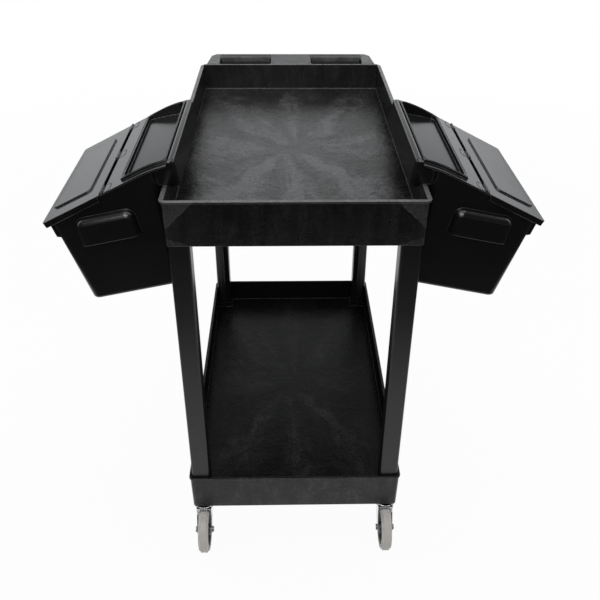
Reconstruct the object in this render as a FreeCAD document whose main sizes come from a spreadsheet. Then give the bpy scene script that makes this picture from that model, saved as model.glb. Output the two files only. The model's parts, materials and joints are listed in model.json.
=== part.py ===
"""Two-shelf tub cart on swivel casters, with a lidded bin hooked over each long rim. Millimetres, +Z up.

The cart's front rim faces -Y and its push handle +Y. The origin is on the floor, under the middle of the
whole cart's box.
"""
import FreeCAD, Part
import math
import os
import re

import Sketcher
from FreeCAD import Vector

# Driving dimensions: name, value, meaning
SIZES = (
    ("tub_width", 457.2, "tub over its walls, side to side"),
    ("tub_length", 812.8, "tub over its rim, front to rear"),
    ("skirt_height", 88.4, "outer height of a tub"),
    ("skirt_taper", 1.7, "how far the skirt draws in from rim to lower edge, each side"),
    ("tub_depth", 63.5, "inside depth of a tub"),
    ("rim_wall", 4.5, "wall of a tub at its rim"),
    ("rim_round", 1.6, "rounding of the rim's edges"),
    ("top_lip_out", 4.0, "lip outside the upper tub's rim, at the front and sides"),
    ("low_lip_out", 2.2, "lip outside the lower tub's rim"),
    ("lip_height", 5.0, "height of these lips"),
    ("tub_corner", 9.0, "outer corner radius of a tub"),
    ("floor_thick", 5.0, "floor of a tub"),
    ("rib_thick", 4.0, "stiffening ribs under a tub floor, which run front to rear"),
    ("rib_depth", 13.0, "height of those ribs"),
    ("rib_spread", 150.0, "distance between the two ribs"),
    ("handle_reach", 82.6, "push handle beyond the rear rim"),
    ("handle_width", 418.0, "outer edge of the push handle"),
    ("handle_thick", 24.0, "height of the push handle"),
    ("handle_bar", 22.0, "gripping bar of the handle, front to rear"),
    ("handle_tilt", 4.5, "rise of the handle's top to its outer edge, degrees"),
    ("handle_round", 5.0, "rounding of the handle's edges"),
    ("slot_inner", 53.0, "inner end of a hand slot from the middle"),
    ("slot_outer", 186.0, "outer end of a hand slot from the middle"),
    ("slot_front", 6.5, "front edge of a hand slot behind the rear rim"),
    ("plate_width", 102.0, "sunk plate between the hand slots, side to side"),
    ("plate_sunk", 1.0, "how far that plate is sunk"),
    ("leg_width", 38.1, "square leg, outside"),
    ("leg_wall", 3.5, "wall of a leg"),
    ("leg_round", 4.5, "corner radius of a leg"),
    ("leg_length", 658.6, "leg between the two tub floors"),
    ("leg_gap", 0.3, "clearance of a leg in its corner and socket"),
    ("fin_thick", 12.0, "stiffening fin on a leg"),
    ("fin_depth", 27.0, "fin behind the leg"),
    ("fin_length", 513.0, "height of the fin's top above the socket"),
    ("fin_slant", 22.0, "slanted top of the fin"),
    ("socket_wall", 4.0, "wall of a leg socket"),
    ("socket_height", 15.0, "leg socket above the lower floor"),
    ("insert_height", 42.0, "caster insert in the foot of a leg"),
    ("insert_gap", 0.1, "clearance of the insert in the leg"),
    ("wheel_diameter", 101.6, "caster wheel over its tyre"),
    ("tread_width", 22.0, "tyre width"),
    ("tread_round", 4.0, "tyre shoulder radius"),
    ("rim_diameter", 76.0, "wheel centre under the tyre"),
    ("web_thick", 6.0, "web of the wheel centre"),
    ("rim_thick", 6.0, "rim of the wheel centre, radially"),
    ("rim_width", 18.0, "rim of the wheel centre, across"),
    ("hub_diameter", 25.0, "hub of the wheel centre"),
    ("hub_width", 25.6, "hub of the wheel centre, across"),
    ("bush_diameter", 13.0, "axle bush, outside"),
    ("bush_width", 27.6, "axle bush, length"),
    ("axle_diameter", 8.0, "axle bolt"),
    ("axle_end", 4.4, "axle bolt beyond the fork on the nut side"),
    ("hex_width", 13.0, "axle bolt head and nut, across flats"),
    ("hex_height", 3.6, "axle bolt head and nut, height"),
    ("run_gap", 0.06, "radial clearance of turning fits"),
    ("seat_gap", 0.03, "radial clearance of pieces pressed together"),
    ("caster_trail", 31.0, "wheel axle behind the swivel axis"),
    ("fork_clear", 4.0, "wheel to fork crown"),
    ("fork_sheet", 2.5, "fork sheet thickness"),
    ("fork_side_gap", 3.2, "tyre to fork cheek"),
    ("fork_boss", 11.0, "half width of the fork cheek at the axle"),
    ("fork_foot_round", 11.8, "radius of the fork cheek below the axle"),
    ("fork_nose", 15.0, "fork cheek ahead of the swivel axis"),
    ("fork_knee", 16.0, "depth of the fork cheek below its crown at the front"),
    ("fork_tail", 47.0, "fork cheek behind the swivel axis at the crown"),
    ("fork_tail_drop", 15.0, "depth of the fork cheek's tail"),
    ("fork_bend", 2.0, "outer bend of the fork"),
    ("crown_diameter", 47.0, "round crown of the fork"),
    ("ball_space", 3.0, "fork crown to race plate"),
    ("ball_diameter", 2.7, "bearing ball"),
    ("ball_circle", 35.0, "circle of the bearing balls"),
    ("race_sheet", 2.5, "race plate thickness"),
    ("race_diameter", 48.0, "race plate"),
    ("collar_height", 4.4, "collar between race plate and tub"),
    ("collar_diameter", 26.0, "collar"),
    ("stem_diameter", 11.0, "caster stem"),
    ("stem_length", 50.0, "caster stem above its collar"),
    ("kingpin_diameter", 10.0, "kingpin through the fork crown"),
    ("rivet_diameter", 18.0, "riveted foot of the kingpin"),
    ("rivet_height", 4.0, "riveted foot of the kingpin"),
    ("swivel_gap", 0.3, "fork crown to riveted foot"),
    ("brake_pin_back", 40.0, "brake pivot behind the swivel axis"),
    ("brake_pin_above", 0.6, "brake pivot above the fork crown's underside"),
    ("brake_pin_diameter", 5.0, "brake pivot pin"),
    ("lever_width", 25.4, "brake lever, side to side"),
    ("lever_sheet", 3.0, "brake lever thickness"),
    ("lever_eye", 4.6, "radius of the lever's eye"),
    ("lever_reach", 56.0, "brake lever behind its pivot"),
    ("lever_drop", 3.0, "how far the lever falls from eye to toe"),
    ("shoe_back", 20.0, "brake shoe behind its pivot"),
    ("shoe_width", 8.0, "brake shoe, front to rear"),
    ("shoe_drop", 9.0, "underside of the brake shoe below the pivot"),
    ("bin_tilt", 12.0, "tilt of a hung bin, degrees"),
    ("bin_near", 55.0, "near end of a bin behind the front rim"),
    ("bin_length", 350.0, "bin over its lid, front to rear"),
    ("bin_depth", 197.5, "bin floor below the rim"),
    ("bin_out", 203.0, "outer edge of the bin floor from the rim"),
    ("bin_draft", 6.0, "draft of the bin's inner and outer walls, degrees"),
    ("bin_wall", 3.0, "walls of the bin, cover and lid"),
    ("bin_corner", 16.0, "corner radius of the bin"),
    ("bin_foot_round", 6.0, "radius at the bin floor"),
    ("bin_rest_gap", 0.4, "bin wall to the skirt that it leans on"),
    ("hang_gap", 0.85, "bin flange to the rim that carries it"),
    ("hook_inset", 14.0, "hook bead inside the rim's outer edge"),
    ("hook_clear", 5.2, "foot of the hook inside the rim's outer edge"),
    ("hook_thick", 13.0, "hook bead, side to side"),
    ("hook_drop", 10.0, "hook bead below the rim"),
    ("hook_top", 42.0, "hook bead above the rim"),
    ("hook_length", 330.0, "hook bead, front to rear"),
    ("hook_round", 6.0, "rounding of the hook bead"),
    ("hook_end_round", 9.0, "rounding of the hook bead's upright end corners"),
    ("hinge_out", 113.0, "lid hinge axis from the rim"),
    ("hinge_up", 10.0, "lid hinge axis above the rim"),
    ("lid_slope", 15.0, "slope of lid and cover on the bin, degrees"),
    ("slit", 4.6, "hinge axis to the edges of lid and cover"),
    ("bend_out", 40.0, "where the cover starts to level off, from the rim"),
    ("bend_radius", 240.0, "radius of the cover where it levels off"),
    ("cover_top", 37.5, "cover at the hook bead, above the rim"),
    ("tray_out", 69.0, "outer edge of the tray from the rim"),
    ("tray_up", 15.5, "tray's underside above the rim"),
    ("tray_length", 308.0, "tray, front to rear"),
    ("tray_corner", 10.0, "corner radius of the tray"),
    ("tray_bead", 5.0, "width of the bead round the tray"),
    ("tray_bead_up", 4.5, "height of that bead"),
    ("tray_bead_round", 2.0, "rounding of that bead"),
    ("lid_reach", 125.0, "lid from its hinge axis to its outer edge"),
    ("lid_skirt", 11.0, "lid skirt below the lid's top"),
    ("lid_corner", 5.0, "corner radius of the lid"),
    ("lid_gap", 0.3, "lid and cover above the bin's edge"),
    ("plateau_up", 3.0, "raised field of the lid"),
    ("plateau_hinge", 31.0, "raised field from the hinge axis"),
    ("plateau_outer", 12.0, "raised field from the outer edge"),
    ("plateau_end", 45.0, "raised field from the lid's ends"),
    ("band_step", 6.5, "front band of the bin beyond the wall below it"),
    ("band_low", 62.0, "lower edge of the front band below the rim"),
    ("band_end", 14.0, "front band from the bin's ends"),
    ("grip_in", 66.0, "inner end of an end grip from the rim"),
    ("grip_out", 178.0, "outer end of an end grip from the rim"),
    ("grip_top", 27.0, "top of an end grip below the rim"),
    ("grip_low", 77.0, "lower edge of an end grip below the rim"),
    ("grip_reach", 16.0, "how far an end grip stands out"),
    ("grip_corner", 18.0, "upper corners of an end grip"),
    ("grip_round", 15.0, "rounding of an end grip's front"),
    ("pin_diameter", 3.0, "lid hinge pin"),
    ("barrel_diameter", 6.4, "hinge barrel"),
    ("barrel_length", 14.0, "cover's hinge barrel, with a lid barrel half as long at each side"),
    ("barrel_gap", 0.5, "space between hinge barrels"),
    ("barrel_spread", 312.0, "first hinge to last hinge"),
)

# Sizes that follow from the driving ones
DERIVED = (
    ("rim_half", "tub_width / 2"),
    ("well_half", "rim_half - rim_wall"),
    ("under_depth", "skirt_height - tub_depth - floor_thick"),
    ("leg_place", "rim_wall + leg_gap + leg_width / 2"),
    ("leg_x", "rim_half - leg_place"),
    ("wheel_radius", "wheel_diameter / 2"),
    ("wheel_lead", "wheel_radius + caster_trail - leg_place"),
    ("front_y", "-(tub_length + handle_reach - wheel_lead) / 2"),
    ("leg_front_y", "front_y + leg_place"),
    ("leg_rear_y", "front_y + tub_length - leg_place"),
    ("crown_low", "wheel_diameter + fork_clear"),
    ("crown_top", "crown_low + fork_sheet"),
    ("race_low", "crown_top + ball_space"),
    ("race_top", "race_low + race_sheet"),
    ("caster_height", "race_top + collar_height"),
    ("low_rim", "caster_height + skirt_height"),
    ("low_floor", "low_rim - tub_depth"),
    ("top_rim", "low_floor + leg_length + floor_thick + tub_depth"),
    ("fork_inner", "tread_width + 2 * fork_side_gap"),
    ("fork_outer", "fork_inner + 2 * fork_sheet"),
    ("brake_pin_up", "crown_low + brake_pin_above"),
    ("bin_middle_y", "front_y + bin_near + bin_length / 2"),
    ("draft_rise", "tan(bin_draft)"),
    ("skirt_out", "skirt_height * sin(bin_tilt) - skirt_taper * cos(bin_tilt)"),
    ("skirt_down", "skirt_height * cos(bin_tilt) + skirt_taper * sin(bin_tilt)"),
    ("wall_in", "skirt_out + bin_rest_gap - skirt_down * draft_rise"),
    ("floor_in", "wall_in + bin_depth * draft_rise"),
    ("end_half", "bin_length / 2 - bin_wall - 2 * lid_gap"),
    ("block_top", "hook_top + bin_wall"),
    ("hook_face", "-hook_inset"),
    ("flange_top", "hang_gap + bin_wall"),
    ("slope_rise", "tan(lid_slope)"),
    ("slope_run", "cos(lid_slope)"),
    ("slope_fall", "sin(lid_slope)"),
    ("bend_top", "hinge_up + (hinge_out - bend_out) * slope_rise"),
    ("tray_half", "tray_length / 2"),
    ("tray_floor", "tray_up + bin_wall"),
)

doc = FreeCAD.newDocument("shelf_cart")
sheet = doc.addObject("Spreadsheet::Sheet", "Sizes")
NAMES = {row[0] for row in SIZES} | {row[0] for row in DERIVED}
pieces = []


def fill_sheet():
    """Write every size into its own named cell."""
    for row, (name, value, meaning) in enumerate(SIZES, start=1):
        sheet.set(f"A{row}", name)
        sheet.set(f"B{row}", str(value))
        sheet.setAlias(f"B{row}", name)
        sheet.set(f"C{row}", meaning)
    doc.recompute()
    for row, (name, formula) in enumerate(DERIVED, start=len(SIZES) + 2):
        sheet.set(f"A{row}", name)
        sheet.set(f"B{row}", "=" + formula)
        sheet.setAlias(f"B{row}", name)
        doc.recompute()


def size(formula):
    """The present value of a formula of named sizes."""
    return float(sheet.evalExpression(formula))


def bind(thing, path, formula):
    """Tie a property to a formula of named sizes."""
    text = re.sub(r"[a-z_]+", lambda word: "Sizes." + word[0] if word[0] in NAMES else word[0], formula)
    thing.setExpression(path, text)


def place(thing, x="0", y="0", z="0", turn="0", axis=Vector(0, 0, 1)):
    """Set a piece at a point, turned about an axis by an angle in degrees."""
    thing.Placement = FreeCAD.Placement(Vector(), FreeCAD.Rotation(axis, 10.0))
    for name, formula in (("x", x), ("y", y), ("z", z)):
        bind(thing, f"Placement.Base.{name}", formula)
    bind(thing, "Placement.Rotation.Angle", turn)


def new_body(label):
    body = doc.addObject("PartDesign::Body", label)
    body.Label = label
    pieces.append(body)
    return body


def origin_part(body, role):
    """A plane or axis of the body's own origin, such as XY_Plane."""
    return [part for part in body.Origin.OriginFeatures if part.Role == role][0]


def new_sketch(body, plane, offset="0"):
    """A sketch on one of the body's own origin planes, moved along the plane's normal."""
    sketch = body.newObject("Sketcher::SketchObject", "Sketch")
    sketch.AttachmentSupport = [(origin_part(body, plane), "")]
    sketch.MapMode = "FlatFace"
    bind(sketch, "AttachmentOffset.Base.z", offset)
    return sketch


def constrain(sketch, constraint, formula):
    index = sketch.addConstraint(constraint)
    bind(sketch, f"Constraints[{index}]", formula)


def outline(sketch, points, arcs=None):
    """A closed loop through points given as formulas; arcs gives the radius of the sides that are round.

    A positive radius bulges to the right of the way from one point to the next, a negative one to the left.
    """
    arcs = arcs or {}
    first = sketch.GeometryCount
    count = len(points)
    spots = [Vector(size(x), size(y), 0) for x, y in points]
    ends = []
    for side in range(count):
        start, end = spots[side], spots[(side + 1) % count]
        if side in arcs:
            radius = size(arcs[side])
            chord = end - start
            rise = abs(radius) - math.sqrt(max(radius ** 2 - chord.Length ** 2 / 4, 0))
            right = Vector(chord.y, -chord.x, 0).normalize()
            middle = (start + end) * 0.5 + right * math.copysign(rise, radius)
            index = sketch.addGeometry(Part.Arc(start, middle, end), False)
        else:
            index = sketch.addGeometry(Part.LineSegment(start, end), False)
        forward = (sketch.getPoint(index, 1) - start).Length < (sketch.getPoint(index, 2) - start).Length
        ends.append((1, 2) if forward else (2, 1))
    for side, (x, y) in enumerate(points):
        before = (side - 1) % count
        joint = Sketcher.Constraint("Coincident", first + before, ends[before][1], first + side, ends[side][0])
        sketch.addConstraint(joint)
        spot = (-1, 1, first + side, ends[side][0])
        constrain(sketch, Sketcher.Constraint("DistanceX", *spot, spots[side].x), x)
        constrain(sketch, Sketcher.Constraint("DistanceY", *spot, spots[side].y), y)
    for side, radius in arcs.items():
        constrain(sketch, Sketcher.Constraint("Radius", first + side, abs(size(radius))), radius.lstrip("-"))
    return sketch


def rectangle(sketch, left, right, low, high):
    return outline(sketch, [(left, low), (right, low), (right, high), (left, high)])


def rounded_rectangle(sketch, left, right, low, high, corner):
    """A rectangle with equal round corners."""
    x0, x1, y0, y1, r = (size(f) for f in (left, right, low, high, corner))
    quarter = math.pi / 2
    corners = [(x1 - r, y0 + r, -1), (x1 - r, y1 - r, 0), (x0 + r, y1 - r, 1), (x0 + r, y0 + r, 2)]
    sides = [((x0 + r, y0), (x1 - r, y0)), ((x1, y0 + r), (x1, y1 - r)),
             ((x1 - r, y1), (x0 + r, y1)), ((x0, y1 - r), (x0, y0 + r))]
    first = sketch.GeometryCount
    for (start, end), (x, y, turn) in zip(sides, corners):
        sketch.addGeometry(Part.LineSegment(Vector(*start, 0), Vector(*end, 0)), False)
        bend = Part.Circle(Vector(x, y, 0), Vector(0, 0, 1), r)
        sketch.addGeometry(Part.ArcOfCircle(bend, turn * quarter, (turn + 1) * quarter), False)
    for side in range(4):
        line, arc = first + 2 * side, first + 2 * side + 1
        following = first + (2 * side + 2) % 8
        sketch.addConstraint(Sketcher.Constraint("Tangent", line, 2, arc, 1))
        sketch.addConstraint(Sketcher.Constraint("Tangent", arc, 2, following, 1))
        sketch.addConstraint(Sketcher.Constraint("Vertical" if side % 2 else "Horizontal", line))
        if side:
            sketch.addConstraint(Sketcher.Constraint("Equal", first + 1, arc))
    constrain(sketch, Sketcher.Constraint("Radius", first + 1, r), corner)
    constrain(sketch, Sketcher.Constraint("DistanceY", -1, 1, first, 1, y0), low)
    constrain(sketch, Sketcher.Constraint("DistanceX", -1, 1, first + 2, 1, x1), right)
    constrain(sketch, Sketcher.Constraint("DistanceY", -1, 1, first + 4, 1, y1), high)
    constrain(sketch, Sketcher.Constraint("DistanceX", -1, 1, first + 6, 1, x0), left)
    return sketch


def circle(sketch, radius, x="0", y="0"):
    index = sketch.addGeometry(Part.Circle(Vector(size(x), size(y), 0), Vector(0, 0, 1), size(radius)), False)
    constrain(sketch, Sketcher.Constraint("Radius", index, size(radius)), radius)
    constrain(sketch, Sketcher.Constraint("DistanceX", -1, 1, index, 3, size(x)), x)
    constrain(sketch, Sketcher.Constraint("DistanceY", -1, 1, index, 3, size(y)), y)
    return sketch


def hexagon(sketch, across_flats):
    """A hexagon about the sketch's origin, with two flats level."""
    flat = f"{across_flats} / 2"
    half_side = f"{across_flats} / 2 * tan(30)"
    point = f"{across_flats} / 2 / cos(30)"
    return outline(sketch, [(half_side, flat), (f"-{half_side}", flat), (f"-{point}", "0"),
                            (f"-{half_side}", f"-{flat}"), (half_side, f"-{flat}"), (point, "0")])


def extrude(body, kind, sketch, length, symmetric=False, reverse=False, draft="0"):
    """Pad or pocket a sketch, widening by the draft in degrees on the way."""
    feature = body.newObject("PartDesign::" + kind, kind)
    feature.Profile = sketch
    feature.SideType = "Symmetric" if symmetric else "One side"
    feature.Reversed = reverse
    bind(feature, "Length", length)
    bind(feature, "TaperAngle", draft)
    settle(body, feature)
    return feature


def pad(body, sketch, length, **ways):
    return extrude(body, "Pad", sketch, length, **ways)


def pocket(body, sketch, length, **ways):
    return extrude(body, "Pocket", sketch, length, **ways)


def revolve(body, sketch, axis):
    """Turn a sketch once round an origin axis of the body, such as X_Axis."""
    feature = body.newObject("PartDesign::Revolution", "Revolution")
    feature.Profile = sketch
    feature.ReferenceAxis = (origin_part(body, axis), [""])
    feature.Angle = 360.0
    settle(body, feature)


def round_edges(body, radius, wanted):
    """Round the edges of the body so far for which wanted(edge) is true."""
    base = body.Tip
    names = [f"Edge{i}" for i, edge in enumerate(base.Shape.Edges, start=1) if wanted(edge)]
    if not names:
        raise RuntimeError(f"{body.Label}: no edge to round")
    feature = body.newObject("PartDesign::Fillet", "Fillet")
    feature.Base = (base, names)
    bind(feature, "Radius", radius)
    settle(body, feature)


def settle(body, feature):
    """Bring the document up to date and stop at a feature that failed or changed nothing."""
    before = feature.BaseFeature.Shape.Volume if feature.BaseFeature else 0.0
    doc.recompute()
    if not feature.isValid() or feature.Shape.isNull() or abs(feature.Shape.Volume - before) < 1e-6:
        raise RuntimeError(f"{body.Label}: {feature.Name} failed or changed nothing")


def upright(edge):
    """True for an edge that runs mostly up and down."""
    start, end = edge.Vertexes[0].Point, edge.Vertexes[-1].Point
    way = end - start
    return way.Length > 1e-6 and abs(way.z) > 0.9 * way.Length


def lies_at(edge, **values):
    """True where the whole edge has the given coordinates, such as z=0."""
    box = edge.BoundBox
    limits = {"x": (box.XMin, box.XMax), "y": (box.YMin, box.YMax), "z": (box.ZMin, box.ZMax)}
    return all(abs(limit - value) < 1e-3 for name, value in values.items() for limit in limits[name])


# Tubs: the local origin is at the middle of the front rim's top edge


def tub_shell(label, rim, lip_out):
    """Drafted tub with the lip round its rim, its well, the hollow under its floor and the two ribs there."""
    body = new_body(label)
    lip = rounded_rectangle(new_sketch(body, "XY_Plane", "-lip_height"), f"-rim_half - {lip_out}",
                            f"rim_half + {lip_out}", f"-{lip_out}", "tub_length - rim_wall * 0.9",
                            f"tub_corner + {lip_out}")
    pad(body, lip, "lip_height")
    foot = -size("lip_height")
    round_edges(body, "rim_round", lambda edge: lies_at(edge, z=foot))
    base = rounded_rectangle(new_sketch(body, "XY_Plane", "-skirt_height"), "skirt_taper - rim_half",
                             "rim_half - skirt_taper", "skirt_taper", "tub_length - skirt_taper",
                             "tub_corner - skirt_taper")
    pad(body, base, "skirt_height", draft="atan(skirt_taper / skirt_height)")
    well = ("-well_half", "well_half", "rim_wall", "tub_length - rim_wall", "tub_corner - rim_wall")
    pocket(body, rounded_rectangle(new_sketch(body, "XY_Plane"), *well), "tub_depth")
    round_edges(body, "rim_round", lambda edge: lies_at(edge, z=0))
    under = rounded_rectangle(new_sketch(body, "XY_Plane", "-skirt_height"), *well)
    pocket(body, under, "under_depth", reverse=True)
    ribs = new_sketch(body, "XY_Plane", "-tub_depth - floor_thick")
    for side in ("-", ""):
        middle = f"{side}rib_spread / 2"
        rectangle(ribs, f"{middle} - rib_thick / 2", f"{middle} + rib_thick / 2", "rim_wall - rim_wall / 4",
                  "tub_length - rim_wall + rim_wall / 4")
    pad(body, ribs, "rib_depth", reverse=True)
    place(body, y="front_y", z=rim)
    return body


SOCKET_OUTER = "(leg_width / 2 + leg_gap + socket_wall)"
SOCKET_INNER = "(leg_width / 2 + leg_gap)"


def socket_ring(body, level, length, **ways):
    """Square collars that hold the legs, trimmed to the inside of the tub's wall."""
    sketch = new_sketch(body, "XY_Plane", level)
    edge = "(rim_wall / 2)"
    for x, way in (("-leg_x", "-"), ("leg_x", "")):
        for y, run in (("leg_place", "-"), ("tub_length - leg_place", "")):
            wall = f"({y} {'+' if run else '-'} {SOCKET_INNER})"
            back = f"({y} {'+' if run else '-'} {SOCKET_OUTER})"
            side = f"({x} {'+' if way else '-'} {SOCKET_INNER})"
            inner = f"({x} {'+' if way else '-'} {SOCKET_OUTER})"
            rim_x = f"{way}(rim_half - {edge})"
            rim_y = edge if run else f"(tub_length - {edge})"
            outline(sketch, [(rim_x, wall), (side, wall), (side, rim_y), (inner, rim_y), (inner, back),
                             (rim_x, back)])
    pad(body, sketch, length, **ways)


def handle_sketch(body):
    """A sketch on the handle's rising top, with its origin at the rear rim."""
    sketch = new_sketch(body, "XY_Plane", "-rim_round")
    sketch.AttachmentOffset = FreeCAD.Placement(Vector(), FreeCAD.Rotation(Vector(1, 0, 0), 10.0))
    bind(sketch, "AttachmentOffset.Base.y", "tub_length")
    bind(sketch, "AttachmentOffset.Rotation.Angle", "handle_tilt")
    return sketch


def below_handle_top(point):
    """How far a point lies below the handle's top, square to it."""
    tilt = math.radians(size("handle_tilt"))
    return (point.y - size("tub_length")) * math.sin(tilt) - (point.z + size("rim_round")) * math.cos(tilt)


def make_top_tub():
    body = tub_shell("top_tub", "top_rim", "top_lip_out")
    socket_ring(body, "-tub_depth - floor_thick", "under_depth", reverse=True)
    root, corner = "rim_round - rim_wall", "(handle_round * 2)"
    end = "(handle_reach - (handle_thick - handle_round) * sin(handle_tilt)) / cos(handle_tilt)"
    plan = outline(handle_sketch(body), [
        ("tub_corner - rim_half", root), ("rim_half - tub_corner", root),
        ("handle_width / 2", f"{end} - {corner}"), (f"handle_width / 2 - {corner}", end),
        (f"{corner} - handle_width / 2", end), ("-handle_width / 2", f"{end} - {corner}")])
    pad(body, plan, "handle_thick", reverse=True)
    slots = new_sketch(body, "XY_Plane", "handle_thick")
    for ends in (("-slot_outer", "-slot_inner"), ("slot_inner", "slot_outer")):
        rounded_rectangle(slots, *ends, "tub_length + slot_front", "tub_length + handle_reach - handle_bar",
                          "handle_round * 2")
    pocket(body, slots, "skirt_height")
    rear, levels = size("tub_length + slot_front / 2"), (0, size("handle_thick"))

    def on_level(edge):
        return any(all(abs(below_handle_top(vertex.Point) - level) < 1e-3 for vertex in edge.Vertexes)
                   for level in levels)

    round_edges(body, "handle_round", lambda edge: edge.BoundBox.YMin > rear and on_level(edge))
    plate = rounded_rectangle(handle_sketch(body), "-plate_width / 2", "plate_width / 2", "slot_front",
                              f"{end} - handle_round - rim_round", "handle_round")
    pocket(body, plate, "plate_sunk")


def make_low_tub():
    body = tub_shell("low_tub", "low_rim", "low_lip_out")
    socket_ring(body, "-tub_depth", "socket_height")
    bosses = new_sketch(body, "XY_Plane", "-skirt_height")
    holes = new_sketch(body, "XY_Plane", "-skirt_height")
    for x in ("-leg_x", "leg_x"):
        for y in ("leg_place", "tub_length - leg_place"):
            rectangle(bosses, f"{x} - {SOCKET_INNER}", f"{x} + {SOCKET_INNER}", f"{y} - {SOCKET_INNER}",
                      f"{y} + {SOCKET_INNER}")
            circle(holes, "stem_diameter / 2 + seat_gap", x, y)
    pad(body, bosses, "under_depth + floor_thick / 2")
    pocket(body, holes, "under_depth + floor_thick", reverse=True)


# Legs and what is in their feet: the local origin is at the foot's centre


CORNERS = (
    ("front_left", "-leg_x", "leg_front_y", "0"),
    ("front_right", "leg_x", "leg_front_y", "0"),
    ("rear_left", "-leg_x", "leg_rear_y", "180"),
    ("rear_right", "leg_x", "leg_rear_y", "180"),
)


def make_leg(corner, x, y, turn):
    """Square tube with a fin that runs up its inner side and ends in a slant."""
    body = new_body("leg_" + corner)
    half = "leg_width / 2"
    square = rounded_rectangle(new_sketch(body, "XY_Plane"), f"-{half}", half, f"-{half}", half, "leg_round")
    pad(body, square, "leg_length")
    foot, top = "socket_height + leg_gap", "socket_height + fin_length"
    fin = outline(new_sketch(body, "YZ_Plane"), [
        (f"{half} - leg_wall / 2", foot), (f"{half} + fin_depth", foot),
        (f"{half} + fin_depth", f"{top} - fin_slant"), (f"{half} - leg_wall / 2", top)])
    pad(body, fin, "fin_thick", symmetric=True)
    bore = f"({half} - leg_wall)"
    hollow = rectangle(new_sketch(body, "XY_Plane"), f"-{bore}", bore, f"-{bore}", bore)
    pocket(body, hollow, "leg_length", reverse=True)
    place(body, x, y, "low_floor", turn)


def make_insert(corner, x, y):
    """Plug in the foot of a leg, bored for the caster stem."""
    body = new_body("caster_insert_" + corner)
    half = "(leg_width / 2 - leg_wall - insert_gap)"
    square = rectangle(new_sketch(body, "XY_Plane"), f"-{half}", half, f"-{half}", half)
    pad(body, square, "insert_height")
    bore = circle(new_sketch(body, "XY_Plane"), "stem_diameter / 2 + seat_gap")
    pocket(body, bore, "insert_height", reverse=True)
    place(body, x, y, "low_floor")


# Casters: the local origin is on the floor under the swivel axis, with the wheel trailing towards -Y


def make_stem(corner, x, y):
    """Stem, collar, race plate and riveted kingpin, turned as one."""
    body = new_body("caster_stem_" + corner)
    foot = "crown_low - swivel_gap"
    outline(new_sketch(body, "XZ_Plane"), [
        ("0", f"{foot} - rivet_height"), ("rivet_diameter / 2", f"{foot} - rivet_height"),
        ("rivet_diameter / 2", foot), ("kingpin_diameter / 2", foot), ("kingpin_diameter / 2", "race_low"),
        ("race_diameter / 2", "race_low"), ("race_diameter / 2", "race_top"),
        ("collar_diameter / 2", "race_top"), ("collar_diameter / 2", "caster_height"),
        ("stem_diameter / 2", "caster_height"),
        ("stem_diameter / 2", "caster_height + stem_length"), ("0", "caster_height + stem_length")])
    revolve(body, body.Group[-1], "Z_Axis")
    place(body, x, y)


def make_balls(corner, x, y):
    """Ring of loose balls between the race plate and the fork crown."""
    label = "bearing_balls_" + corner
    radius, ring = size("ball_diameter / 2"), size("ball_circle / 2")
    level = size("crown_top + ball_space / 2")
    count = int(math.pi * ring / radius * 0.8)
    turns = [2 * math.pi * i / count for i in range(count)]
    spots = [Vector(ring * math.cos(turn), ring * math.sin(turn), level) for turn in turns]
    balls = doc.addObject("Part::Feature", label)
    balls.Label = label
    balls.Shape = Part.makeCompound([Part.makeSphere(radius, spot) for spot in spots])
    place(balls, x, y)
    pieces.append(balls)


def make_fork(corner, x, y, braked):
    """Sheet fork: a round crown and two cheeks that carry the axle; braked ones have ears for the lever."""
    body = new_body("caster_fork_" + corner)
    axle, neck, tail_low = "-caster_trail", "-crown_diameter / 2", "crown_low - fork_tail_drop"
    shoulder = [("fork_nose", "crown_top"), (neck, "crown_top")]
    if braked:
        shoulder += [("fork_bend - fork_tail", "brake_pin_up + lever_eye"), ("-fork_tail", tail_low)]
    else:
        shoulder += [(neck, tail_low)]
    foot = [(f"{axle} - fork_boss", "wheel_radius"), (f"{axle} + fork_boss", "wheel_radius"),
            ("fork_nose", "crown_low - fork_knee")]
    cheek = outline(new_sketch(body, "YZ_Plane"), shoulder + foot, {len(shoulder): "fork_foot_round"})
    pad(body, cheek, "fork_outer", symmetric=True)
    reach = "(fork_tail + wheel_diameter)"
    ears = "brake_pin_up + 2 * lever_eye"
    inside = outline(new_sketch(body, "YZ_Plane"), [
        (f"-{reach}", "0"), (reach, "0"), (reach, "crown_low"), (neck, "crown_low"), (neck, ears),
        (f"-{reach}", ears)])
    pocket(body, inside, "fork_inner", symmetric=True)
    pad(body, circle(new_sketch(body, "XY_Plane", "crown_low"), "crown_diameter / 2"), "fork_sheet")
    kingpin = circle(new_sketch(body, "XY_Plane", "crown_low"), "kingpin_diameter / 2 + run_gap")
    pocket(body, kingpin, "fork_sheet", reverse=True)
    bores = circle(new_sketch(body, "YZ_Plane"), "axle_diameter / 2 + seat_gap", axle, "wheel_radius")
    if braked:
        circle(bores, "brake_pin_diameter / 2 + seat_gap", "-brake_pin_back", "brake_pin_up")
    pocket(body, bores, "fork_outer", symmetric=True)
    place(body, x, y)


def make_axle(corner, x, y):
    """Axle bolt with a hexagon head."""
    body = new_body("axle_bolt_" + corner)
    half = "fork_outer / 2"
    pad(body, circle(new_sketch(body, "YZ_Plane", f"-{half}"), "axle_diameter / 2"), "fork_outer + axle_end")
    pad(body, hexagon(new_sketch(body, "YZ_Plane", f"-{half}"), "hex_width"), "hex_height", reverse=True)
    place(body, x, f"{y} - caster_trail", "wheel_radius")


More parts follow.
